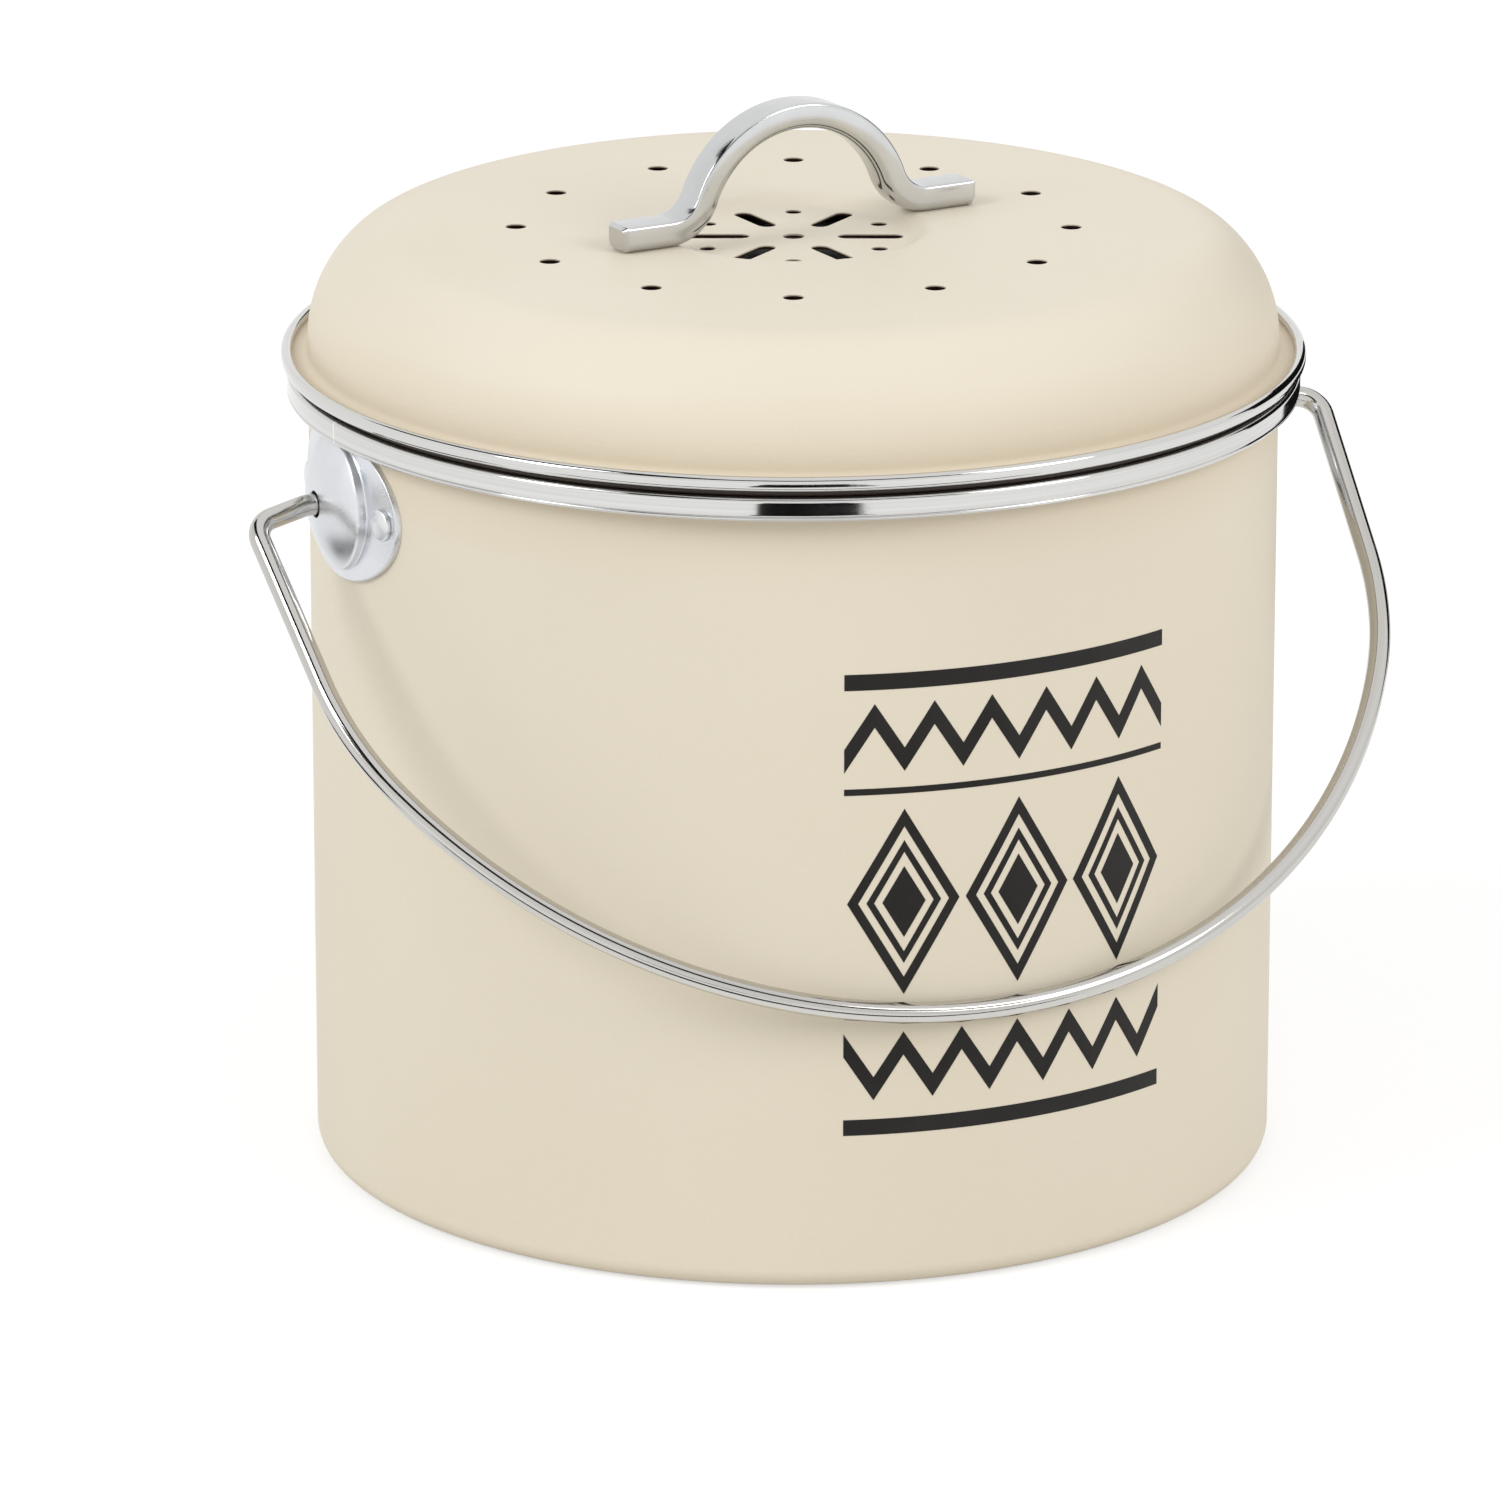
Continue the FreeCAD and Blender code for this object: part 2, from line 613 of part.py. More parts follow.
def lid_handle():
    foot_z = lid_top_z + grip_t / 2
    crest_z = grip_top_z - grip_t / 2
    arch_z = crest_z - grip_arch_r
    bend_z = foot_z + grip_bend_r
    bend_u = math.sqrt((grip_arch_r + grip_bend_r) ** 2 - (bend_z - arch_z) ** 2)
    share = grip_arch_r / (grip_arch_r + grip_bend_r)
    meet_u = bend_u * share
    meet_z = arch_z + (bend_z - arch_z) * share
    swing = math.atan2(bend_u - meet_u, bend_z - meet_z) / 2
    bend_mid_u = bend_u - grip_bend_r * math.sin(swing)
    bend_mid_z = bend_z - grip_bend_r * math.cos(swing)
    edges = [
        Part.LineSegment(Vector(-grip_half, 0, foot_z), Vector(-bend_u, 0, foot_z)).toShape(),
        Part.Arc(Vector(-bend_u, 0, foot_z), Vector(-bend_mid_u, 0, bend_mid_z),
                 Vector(-meet_u, 0, meet_z)).toShape(),
        Part.Arc(Vector(-meet_u, 0, meet_z), Vector(0, 0, crest_z), Vector(meet_u, 0, meet_z)).toShape(),
        Part.Arc(Vector(meet_u, 0, meet_z), Vector(bend_mid_u, 0, bend_mid_z),
                 Vector(bend_u, 0, foot_z)).toShape(),
        Part.LineSegment(Vector(bend_u, 0, foot_z), Vector(grip_half, 0, foot_z)).toShape(),
    ]
    bar = Part.Wire(edges).makePipeShell([grip_section(-grip_half, foot_z)], True, False)
    for side in (-1, 1):
        bar = bar.cut(upright(screw_r + screw_fit, lid_top_z - past, screw_depth + past, side * screw_u))
    return bar.Solids[0]


def lid_handle_screws():
    screws = []
    for side in (-1, 1):
        shank = upright(screw_r, lid_under_z - washer_t, washer_t + lid_t + screw_depth - screw_fit,
                        side * screw_u)
        head = upright(screw_head_r, screw_head_z, screw_head_h, side * screw_u)
        lower = [e for e in head.Edges if abs(e.BoundBox.ZMax - screw_head_z) < 1e-6]
        head = head.makeFillet(screw_head_h / 2, lower)
        screws.append(shank.fuse(head).removeSplitter().Solids[0])
    return Part.makeCompound(screws)


def lid_handle_washers():
    washers = []
    for side in (-1, 1):
        disc = upright(washer_r, lid_under_z - washer_t, washer_t, side * screw_u)
        washers.append(disc.cut(upright(screw_r + washer_clear, lid_under_z - washer_t - past, through,
                                        side * screw_u)))
    return Part.makeCompound(washers)


def filter_tabs():
    """Z-shaped tongues: flange welded under the lid, leg down, tongue in under the holder's lug."""
    leg_in = holder_r + lug_reach + tab_gap
    leg_out = leg_in + tab_t
    tongue_in = holder_r + tab_tongue_gap
    half = tab_w / 2
    leg = Part.makeBox(tab_t, tab_w, lid_under_z - (lug_z - tab_t), Vector(leg_in, -half, lug_z - tab_t))
    tongue = Part.makeBox(leg_out - tongue_in, tab_w, tab_t, Vector(tongue_in, -half, lug_z - tab_t))
    flange = Part.makeBox(tab_flange, tab_w, tab_t, Vector(leg_in, -half, lid_under_z - tab_t))
    tab = leg.fuse([tongue, flange]).removeSplitter().Solids[0]
    return Part.makeCompound(ring_of(tab, lug_count, tab_start_deg))


def filter_holder():
    """Round tray with a perforated floor, lugs round its wall and a bar below to turn it by."""
    tray = upright(holder_r, holder_z, holder_top_z - holder_z)
    tray = tray.cut(upright(holder_r - holder_t, filter_z, holder_top_z))
    hole = upright(holder_hole_r, holder_z - past, through, holder_inner_share * filter_r)
    cuts = ring_of(hole, holder_inner_count, 180.0 / holder_inner_count)
    hole = upright(holder_hole_r, holder_z - past, through, holder_outer_share * filter_r)
    cuts += ring_of(hole, holder_outer_count, 180.0 / holder_outer_count)
    tray = tray.cut(cuts)
    lug_arc = Part.makeCylinder(holder_r + lug_reach, lug_t, Vector(0, 0, lug_z), up, lug_deg)
    lug_arc = lug_arc.cut(upright(holder_r - holder_t / 2, lug_z - past, through))
    lugs = ring_of(about_z(lug_arc, -lug_deg / 2), lug_count, tab_start_deg)
    bar = Part.makeBox(holder_grip_l, holder_grip_w, holder_grip_h,
                       Vector(-holder_grip_l / 2, -holder_grip_w / 2, holder_z - holder_grip_h))
    return tray.fuse(lugs + [bar]).removeSplitter().Solids[0]


def carbon_filter():
    return upright(filter_r, filter_z, filter_t)


def on_lid(shape):
    """The lid and what it carries, turned as the lid lies."""
    return about_z(shape, lid_turn_deg)


pieces = {
    "pail_wall": pail_wall(),
    "pail_base": pail_base(),
    "rim_hoop": rim_hoop(),
    "ear_left": ear(-1),
    "ear_right": ear(1),
    "ear_rivets_left": ear_rivets(-1),
    "ear_rivets_right": ear_rivets(1),
    "bail_handle": bail_handle(),
    "inner_bucket": inner_bucket(),
    "lid_shell": on_lid(lid_shell()),
    "lid_rim_ring": on_lid(lid_rim_ring()),
    "lid_locating_ring": on_lid(lid_locating_ring()),
    "lid_handle": on_lid(lid_handle()),
    "lid_handle_screws": on_lid(lid_handle_screws()),
    "lid_handle_washers": on_lid(lid_handle_washers()),
    "filter_tabs": on_lid(filter_tabs()),
    "filter_holder": on_lid(filter_holder()),
    "carbon_filter": on_lid(carbon_filter()),
}

os.makedirs("parts", exist_ok=True)
for name, shape in pieces.items():
    box = shape.optimalBoundingBox(False)
    print("%-20s solids %d valid %s volume %9.1f  x %.2f %.2f  y %.2f %.2f  z %.2f %.2f"
          % (name, len(shape.Solids), shape.isValid(), shape.Volume,
             box.XMin, box.XMax, box.YMin, box.YMax, box.ZMin, box.ZMax))
    shape.exportStep("parts/%s.step" % name)
print("bail hangs %.2f degrees from upright" % math.degrees(bail_rest))
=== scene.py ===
# %% [markdown]
# # A kitchen compost bin
# The bin is a cream coated steel pail with a polished hoop, a wire bail on two pressed ears, a lift-out
# plastic liner, and a vented lid that carries a carbon filter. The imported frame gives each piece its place
# and its motion. This lesson gives each piece a smooth skin, a finish, and the light of a small studio.

import json

import bmesh
import bpy
import numpy as np
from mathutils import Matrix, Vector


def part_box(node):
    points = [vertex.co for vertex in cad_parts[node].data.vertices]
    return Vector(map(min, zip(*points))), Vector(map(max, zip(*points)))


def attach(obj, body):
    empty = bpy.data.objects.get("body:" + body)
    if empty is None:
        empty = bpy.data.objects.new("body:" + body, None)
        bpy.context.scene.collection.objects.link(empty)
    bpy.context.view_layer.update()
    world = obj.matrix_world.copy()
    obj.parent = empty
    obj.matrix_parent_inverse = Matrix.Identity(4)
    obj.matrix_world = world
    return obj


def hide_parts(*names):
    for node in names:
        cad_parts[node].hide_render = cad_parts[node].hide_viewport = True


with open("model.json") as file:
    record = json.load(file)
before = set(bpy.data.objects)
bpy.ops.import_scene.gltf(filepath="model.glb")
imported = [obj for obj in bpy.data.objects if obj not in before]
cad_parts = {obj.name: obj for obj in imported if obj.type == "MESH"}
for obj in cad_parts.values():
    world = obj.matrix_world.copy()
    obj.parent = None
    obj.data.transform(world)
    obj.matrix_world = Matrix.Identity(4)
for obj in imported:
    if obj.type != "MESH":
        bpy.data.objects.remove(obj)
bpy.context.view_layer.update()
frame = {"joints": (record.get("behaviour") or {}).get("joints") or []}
mm = 0.001


# %% [markdown]
# ## Sizes that the frame already knows
# A dressed piece has to lie exactly where its solid lies, so the main sizes are read from the frame's
# boxes. They are kept in millimetres and turned into metres when a mesh is made.

# %% Read the main sizes
def heights_of(node):
    """Lowest and highest z of a node's solid."""
    low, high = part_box(node)
    return low.z / mm, high.z / mm


def radius_of(node):
    """How far a round solid reaches from the axis."""
    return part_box(node)[1].y / mm


pail_r = radius_of("pail_wall")
hoop_r = radius_of("rim_hoop")
bead_r = min(-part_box("lid_rim_ring")[0].y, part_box("lid_rim_ring")[1].y) / mm
hoop_end, rim_z = heights_of("rim_hoop")
seat_z, bead_top = heights_of("lid_rim_ring")
lid_z = heights_of("lid_shell")[1]
bail_axis_z = next(j for j in frame["joints"] if j["name"] == "bail_swing")["pos_m"][2] / mm
lid_turn = np.radians(6.0)
fit = 0.05
print("pail radius %.1f, rim at %.1f, lid top at %.1f" % (pail_r, rim_z, lid_z))


# %% [markdown]
# ## From a grid of points to a mesh
# Every piece is a surface over two parameters, worked out as one array of points in rows and columns.
# Neighbours become quads. Columns close on themselves, and in a ring the rows do so too. Edges that turn
# sharply stay crisp and all others are shaded smooth.

# %% Grid helpers
def running_length(line, closed):
    """Distance along a line of points, with the closing step added where the line is closed."""
    if closed:
        line = np.concatenate([line, line[:1]])
    return np.concatenate([[0], np.cumsum(np.linalg.norm(np.diff(line, axis=0), axis=1))])


def grid(points, ring=False):
    """Vertices, quads and corner UVs of points[row, column]. A UV is a distance along column and row."""
    rows, columns = points.shape[:2]
    i, j = np.indices((rows - 1 + ring, columns))
    corner_i = np.stack([i, i, i + 1, i + 1], -1).reshape(-1, 4)
    corner_j = np.stack([j, j + 1, j + 1, j], -1).reshape(-1, 4)
    around = running_length(points[rows // 2], True)
    along = running_length(points[:, 0], ring)
    uv = np.stack([around[corner_j], along[corner_i]], -1)
    return points.reshape(-1, 3), (corner_i % rows) * columns + corner_j % columns, uv


def add_object(name, data):
    made = bpy.data.objects.new(name, data)
    bpy.context.scene.collection.objects.link(made)
    return made


def piece(name, parts, finish, body, slot, *nodes, crisp=38):
    """Join grids in millimetres to one welded mesh with outward faces, then tie it to the frame."""
    starts = np.cumsum([0] + [len(part[0]) for part in parts[:-1]])
    vertices = np.concatenate([part[0] for part in parts]) * mm
    faces = np.concatenate([part[1] + start for part, start in zip(parts, starts)])
    uv = np.concatenate([part[2].reshape(-1, 2) for part in parts]) * mm
    mesh = bpy.data.meshes.new(name)
    mesh.from_pydata(vertices.tolist(), [], faces.tolist())
    mesh.uv_layers.new(name="surface").data.foreach_set("uv", uv.ravel())
    work = bmesh.new()
    work.from_mesh(mesh)
    bmesh.ops.remove_doubles(work, verts=work.verts, dist=1e-7)
    bmesh.ops.recalc_face_normals(work, faces=work.faces)
    if work.calc_volume(signed=True) < 0:
        bmesh.ops.reverse_faces(work, faces=work.faces)
    volume = work.calc_volume(signed=True) / mm ** 3
    open_edges = sum(not edge.is_manifold for edge in work.edges)
    work.to_mesh(mesh)
    work.free()
    mesh.shade_smooth()
    mesh.set_sharp_from_angle(angle=np.radians(crisp))
    mesh.materials.append(finish)
    made = add_object(name, mesh)
    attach(made, body)
    if nodes:
        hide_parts(*nodes)
    print("%-18s %6d faces, %9.0f mm3, open edges %d" % (name, len(mesh.polygons), volume, open_edges))
    return made


# %% [markdown]
# ## Turned shapes
# Most of the bin was spun or rolled about one axis, so a profile of radius and height is carried round it.
# A long straight run gets a point close to each of its ends: without them the smooth shading of a small
# bend would bleed over the whole run.

# %% Profile and lathe helpers
around_steps = 288


def unit(angle):
    """Points on the unit circle, at angles in radians."""
    return np.stack([np.cos(angle), np.sin(angle)], -1)


def arc(centre_r, centre_z, radius, start, end, steps=8):
    """Points on a circle about a centre, from one angle in degrees to another."""
    return np.array([centre_r, centre_z]) + radius * unit(np.radians(np.linspace(start, end, steps + 1)))


def corner(r, z, soft, start, end, steps=8):
    """A quarter arc that softens the corner at (r, z), from one angle in degrees to another."""
    side = np.sign(unit(np.radians((start + end) / 2)))
    return arc(r - soft * side[0], z - soft * side[1], soft, start, end, steps)


def outline(*stretches, hold=0.25):
    """Join points and arcs to one profile, drop repeats, and hold the ends of each long run."""
    line = np.concatenate([np.atleast_2d(stretch) for stretch in stretches]).astype(float)
    fresh = np.linalg.norm(np.diff(line, axis=0), axis=1) > 1e-6
    line = line[np.concatenate([[True], fresh])]
    step = np.diff(line, axis=0)
    length = np.linalg.norm(step, axis=1)
    runs = np.flatnonzero(length > 4 * hold)
    way = step[runs] / length[runs, None] * hold
    extra = np.stack([line[runs] + way, line[runs + 1] - way], 1).reshape(-1, 2)
    return np.insert(line, np.repeat(runs + 1, 2), extra, axis=0)


def spun(profile, steps=around_steps):
    """Carry a profile round the Z axis: x = r cos a, y = r sin a, z = z, for a all the way round."""
    angle = np.arange(steps) * 2 * np.pi / steps
    r = profile[:, :1]
    return np.stack([r * np.cos(angle), r * np.sin(angle), profile[:, 1:] + 0 * angle], -1)


def turned_piece(name, profile, *ties, ring=False):
    """A piece of one spun profile."""
    return piece(name, [grid(spun(profile), ring)], *ties)


def turned(points, angle):
    """Turn points about the Z axis."""
    x = points[..., 0] * np.cos(angle) - points[..., 1] * np.sin(angle)
    y = points[..., 0] * np.sin(angle) + points[..., 1] * np.cos(angle)
    return np.stack([x, y, points[..., 2]], -1)


# %% [markdown]
# ## Tools for the finishes
# A finish is a Principled shader whose colour, roughness and relief vary over the surface. The effects that
# come back on several materials are node groups: each is built once and placed with its own scale.

# %% Node helpers
def add_node(tree, kind, inputs=None, **options):
    """Add a shader node, set its options, and fill its inputs with values or with other nodes' sockets."""
    node = tree.nodes.new("ShaderNode" + kind)
    for option, value in options.items():
        setattr(node, option, value)
    for socket, value in (inputs or {}).items():
        if isinstance(value, bpy.types.NodeSocket):
            tree.links.new(value, node.inputs[socket])
        else:
            node.inputs[socket].default_value = value
    return node


def join(tree, inputs, sources):
    """Link named inputs to the sockets that feed them."""
    for label, socket in sources.items():
        tree.links.new(socket, inputs[label])


def maths(tree, operation, *values):
    return add_node(tree, "Math", dict(enumerate(values)), operation=operation).outputs[0]


def vector_maths(tree, operation, *values):
    return add_node(tree, "VectorMath", dict(enumerate(values)), operation=operation).outputs[0]


def noise(tree, vector, scale, detail):
    return add_node(tree, "TexNoise", {"Vector": vector, "Scale": scale, "Detail": detail}).outputs


def ranged(tree, value, low, high, to_low=0.0, to_high=1.0):
    """Stretch a value from one range to another, held at both ends."""
    limits = {"Value": value, "From Min": low, "From Max": high, "To Min": to_low, "To Max": to_high}
    return add_node(tree, "MapRange", limits).outputs[0]


def sum_of(tree, first, second, share):
    """first + share * second."""
    return maths(tree, "MULTIPLY_ADD", second, share, first)


def blend_of(tree, factor, *colours):
    """Blend two colours by a factor from 0 to 1."""
    first, second = (c if isinstance(c, bpy.types.NodeSocket) else (*c, 1) for c in colours)
    return add_node(tree, "Mix", {0: factor, 6: first, 7: second}, data_type="RGBA").outputs[2]


def new_group(name, inputs, outputs):
    """An empty shader group with a vector input, named numbers with start values, and number outputs."""
    tree = bpy.data.node_groups.new(name, "ShaderNodeTree")
    new_socket = tree.interface.new_socket
    new_socket(name="Vector", in_out="INPUT", socket_type="NodeSocketVector")
    for label, value in inputs.items():
        new_socket(name=label, in_out="INPUT", socket_type="NodeSocketFloat").default_value = value
    for label in outputs:
        new_socket(name=label, in_out="OUTPUT", socket_type="NodeSocketFloat")
    return tree, tree.nodes.new("NodeGroupInput").outputs, tree.nodes.new("NodeGroupOutput").inputs


# %% [markdown]
# Three effects are shared. `coat_grain` is the faint orange peel of powder coat and moulded plastic, with a
# slow drift of tone. `drawn_lines` are the fine lines that rolling or drawing leaves along a metal, so it
# reads the piece's own UV map. `handling` is what hands leave on a surface: soft smudges and a few hairline
# scuffs.

# %% Shared effects
def make_coat_grain():
    tree, given, put = new_group("coat_grain", {"Peel": 900.0, "Drift": 14.0}, ("Height", "Tone"))
    peel = noise(tree, given["Vector"], given["Peel"], 2.0)
    speck = noise(tree, given["Vector"], maths(tree, "MULTIPLY", given["Peel"], 3.7), 1.0)
    drift = noise(tree, given["Vector"], given["Drift"], 3.0)
    height = sum_of(tree, peel[0], speck[0], 0.35)
    join(tree, put, {"Height": height, "Tone": ranged(tree, drift[0], 0.3, 0.7)})
    return tree


def make_drawn_lines():
    tree, given, put = new_group("drawn_lines", {"Along": 40.0, "Across": 9000.0}, ("Lines", "Streaks"))
    scale = add_node(tree, "CombineXYZ", {"X": given["Along"], "Y": given["Across"], "Z": 1.0}).outputs[0]
    stretched = vector_maths(tree, "MULTIPLY", given["Vector"], scale)
    lines = ranged(tree, noise(tree, stretched, 1.0, 3.0)[0], 0.3, 0.7)
    streaks = ranged(tree, noise(tree, stretched, 0.17, 2.0)[0], 0.35, 0.65)
    join(tree, put, {"Lines": lines, "Streaks": streaks})
    return tree


def make_handling():
    tree, given, put = new_group("handling", {"Size": 35.0}, ("Smudge", "Scuff"))
    smudge = noise(tree, given["Vector"], given["Size"], 4.0)
    wander = vector_maths(tree, "MULTIPLY", smudge["Color"], (0.02, 0.02, 0.02))
    bent = vector_maths(tree, "ADD", given["Vector"], wander)
    cracks = {"Vector": bent, "Scale": given["Size"]}
    cells = add_node(tree, "TexVoronoi", cracks, feature="DISTANCE_TO_EDGE")
    hair = ranged(tree, cells.outputs[0], 0.0, 0.012, to_low=1.0, to_high=0.0)
    scuff = maths(tree, "MULTIPLY", hair, ranged(tree, smudge[0], 0.58, 0.66))
    join(tree, put, {"Smudge": ranged(tree, smudge[0], 0.4, 0.7), "Scuff": scuff})
    return tree


coat_grain = make_coat_grain()
drawn_lines = make_drawn_lines()
handling = make_handling()


# %% [markdown]
# A finish starts from a Principled shader with its plain numbers set, and ends when the parts that vary are
# linked to it. The relief of a surface is a Bump node whose Distance is a real depth in metres.

# %% Starting and ending a finish
def new_finish(name, plain):
    """A material with plain values on its shader. Gives it, its tree, and its Object and UV coordinates."""
    finish = bpy.data.materials.new(name)
    finish.use_nodes = True
    tree = finish.node_tree
    for socket, value in plain.items():
        tree.nodes["Principled BSDF"].inputs[socket].default_value = value
    place = add_node(tree, "TexCoord").outputs
    return finish, tree, place["Object"], place["UV"]


def effect(tree, group, vector, **numbers):
    """Place a shared effect in a finish and return its outputs."""
    node = tree.nodes.new("ShaderNodeGroup")
    node.node_tree = group
    tree.links.new(vector, node.inputs["Vector"])
    for label, value in numbers.items():
        node.inputs[label].default_value = value
    return node.outputs


def ended(finish, colour, roughness, height, strength, depth):
    """Link a finish's colour and roughness, and a relief of a real depth."""
    tree = finish.node_tree
    bump = add_node(tree, "Bump", {"Height": height, "Strength": strength, "Distance": depth})
    sources = {"Base Color": colour, "Roughness": roughness, "Normal": bump.outputs["Normal"]}
    join(tree, tree.nodes["Principled BSDF"].inputs, sources)
    return finish


# %% [markdown]
# ## Cream powder coat
# The pail and the lid carry a satin cream coat with a faint orange peel. Its tone drifts where the coat is
# thicker. Next to the steel rims a darker, warmer tan is painted into the coat: painted reflection of the
# light that coat and metal throw on each other, and painted shade along the grooves. The vents were punched
# through the coated sheet, so their cut edges have no coat. They are painted dark brown as painted shade
# inside the
# holes, fully where they face down: the lid marks those faces.

# %% Cream powder coat
grain_span = (0.4, 0.9)
thin_cream = (0.775, 0.705, 0.575)
thick_cream = (0.795, 0.727, 0.600)
# Painted shade and painted reflection next to the steel rims: a darker, warmer tan mixed into the cream.
painted_rim_shade = (0.72, 0.58, 0.40)
# Painted shade inside the vent holes: the dark brown that the cut edges get.
painted_hole_shade = (0.045, 0.022, 0.012)


def make_cream_coat():
    finish, tree, place, _ = new_finish("cream_coat", {"IOR": 1.45, "Specular IOR Level": 0.4})
    grain = effect(tree, coat_grain, place, Peel=1100.0, Drift=16.0)
    hands = effect(tree, handling, place, Size=22.0)
    height = add_node(tree, "SeparateXYZ", {0: place}).outputs["Z"]
    # Painted shade near the rims: the tan is mixed in fully at the rim height and fades out 17 mm away.
    rim_distance = maths(tree, "ABSOLUTE", maths(tree, "SUBTRACT", height, rim_z * mm))
    rim_shade_share = ranged(tree, rim_distance, 0.003, 0.017, to_low=0.36, to_high=0.0)
    # The punched faces get painted shade: dark brown in place of the shade inside the vent holes.
    punched = add_node(tree, "Attribute", attribute_name="punched").outputs["Fac"]
    cream = blend_of(tree, grain["Tone"], thin_cream, thick_cream)
    colour = blend_of(tree, punched, blend_of(tree, rim_shade_share, cream, painted_rim_shade), painted_hole_shade)
    gloss = ranged(tree, grain["Height"], *grain_span, to_low=0.46, to_high=0.54)
    gloss = sum_of(tree, gloss, hands["Smudge"], 0.05)
    return ended(finish, colour, gloss, grain["Height"], strength=0.10, depth=0.0004)


cream_coat = make_cream_coat()


# %% [markdown]
# ## Steel, aluminium and wire
# The hoop and the bead are polished strip, with fine rolling lines along the strip. The ears and rivets are
# satin aluminium with no direction. The bail is drawn wire, and the lid's handle a plated bar with a
# slightly uneven face. They differ in grey, in gloss and in which way their lines run.

# %% Metal finishes
def make_lined_metal(name, dark, light, gloss, along, across):
    """A bright metal with fine lines along its own UV direction."""
    finish, tree, place, uv = new_finish(name, {"Metallic": 1.0})
    lines = effect(tree, drawn_lines, uv, Along=along, Across=across)
    hands = effect(tree, handling, place, Size=60.0)
    shine = sum_of(tree, ranged(tree, lines["Lines"], 0.0, 1.0, *gloss), hands["Smudge"], 0.04)
    shine = sum_of(tree, shine, hands["Scuff"], 0.15)
    colour = blend_of(tree, lines["Streaks"], dark, light)
    return ended(finish, colour, shine, lines["Lines"], strength=0.15, depth=0.000004)


def make_grained(name, plain, tones, gloss, peel, drift, bump, size=40.0, smudge=0.0, scuff=0.0):
    """A finish with a fine grain of no direction and the marks of hands; bump is a strength and a depth."""
    finish, tree, place, _ = new_finish(name, plain)
    grain = effect(tree, coat_grain, place, Peel=peel, Drift=drift)
    hands = effect(tree, handling, place, Size=size)
    shine = sum_of(tree, ranged(tree, grain["Height"], *grain_span, *gloss), hands["Smudge"], smudge)
    shine = sum_of(tree, shine, hands["Scuff"], scuff)
    return ended(finish, blend_of(tree, grain["Tone"], *tones), shine, grain["Height"], *bump)


def make_plain_metal(name, dark, light, gloss, peel, depth=0.00001):
    return make_grained(name, {"Metallic": 1.0}, (dark, light), gloss, peel, drift=90.0, bump=(0.2, depth),
                        size=70.0, smudge=0.05, scuff=0.12)


polished_steel = make_lined_metal("polished_steel", (0.62, 0.615, 0.60), (0.68, 0.675, 0.66),
                                  gloss=(0.03, 0.07), along=30.0, across=9000.0)
bright_wire = make_lined_metal("bright_wire", (0.53, 0.515, 0.49), (0.61, 0.595, 0.57),
                               gloss=(0.06, 0.12), along=6000.0, across=40.0)
satin_aluminium = make_plain_metal("satin_aluminium", (0.66, 0.675, 0.70), (0.74, 0.755, 0.78),
                                   gloss=(0.24, 0.32), peel=2500.0)
rivet_aluminium = make_plain_metal("rivet_aluminium", (0.74, 0.75, 0.77), (0.80, 0.81, 0.83),
                                   gloss=(0.30, 0.38), peel=2500.0)
plated_bar = make_plain_metal("plated_bar", (0.57, 0.575, 0.58), (0.64, 0.645, 0.65),
                              gloss=(0.08, 0.15), peel=700.0, depth=0.00002)
sheet_steel = make_plain_metal("sheet_steel", (0.40, 0.40, 0.40), (0.48, 0.48, 0.47),
                               gloss=(0.3, 0.42), peel=1500.0)
zinc_plate = make_plain_metal("zinc_plate", (0.46, 0.47, 0.48), (0.56, 0.56, 0.55),
                              gloss=(0.28, 0.4), peel=1200.0)


# %% [markdown]
# ## Black plastic, felt and ink
# The liner and the filter holder are moulded in black polypropylene with a fine eroded texture. The pad is
# needle felt loaded with carbon, fuzzy and almost without gloss. The print on the front is one flat black
# ink that takes a little of the coat's orange peel.

# %% Plastic, felt and ink
def make_carbon_felt():
    finish, tree, place, _ = new_finish("carbon_felt", {"Sheen Weight": 0.25, "Sheen Roughness": 0.6})
    fuzz = effect(tree, coat_grain, place, Peel=700.0, Drift=60.0)
    fibre = add_node(tree, "TexVoronoi", {"Vector": place, "Scale": 1400.0, "Randomness": 1.0})
    height = sum_of(tree, fuzz["Height"], fibre.outputs["Distance"], 0.6)
    colour = blend_of(tree, fuzz["Tone"], (0.012, 0.012, 0.012), (0.028, 0.027, 0.026))
    gloss = ranged(tree, fuzz["Height"], *grain_span, to_low=0.88, to_high=0.98)
    return ended(finish, colour, gloss, height, strength=0.8, depth=0.0006)


carbon_felt = make_carbon_felt()
plastic_tones = ((0.022, 0.0135, 0.008), (0.026, 0.0155, 0.009))
ink_tones = ((0.013, 0.012, 0.011), (0.019, 0.018, 0.016))
dark_plastic = make_grained("dark_plastic", {"IOR": 1.49}, plastic_tones, gloss=(0.42, 0.55),
                            peel=1800.0, drift=25.0, bump=(0.3, 0.00005), scuff=0.08)
print_ink = make_grained("print_ink", {"IOR": 1.45, "Specular IOR Level": 0.25}, ink_tones,
                         gloss=(0.42, 0.52), peel=1100.0, drift=120.0, bump=(0.15, 0.0004))

# %% [markdown]
# ## Pail wall and base
# The wall is one millimetre sheet rolled to a tube and turned under at the foot. Its closed profile goes up
# the outside and down the inside, so the pail still looks right when the liner is lifted out. The base is a
# disc with a pressed step.

# %% Pail wall and base
sheet_t = 1.0
foot_round = 3.5
foot_in = pail_r - 10.0
wall_top = heights_of("pail_wall")[1]
wall_profile = outline(
    (foot_in, 0),
    corner(pail_r, 0, foot_round, -90, 0),
    (pail_r, wall_top),
    (pail_r - sheet_t, wall_top),
    corner(pail_r - sheet_t, sheet_t, foot_round - sheet_t, 0, -90),
    (foot_in, sheet_t),
)
turned_piece("pail_wall_coated", wall_profile, cream_coat, "pail", "cream_coat", "pail_wall", ring=True)

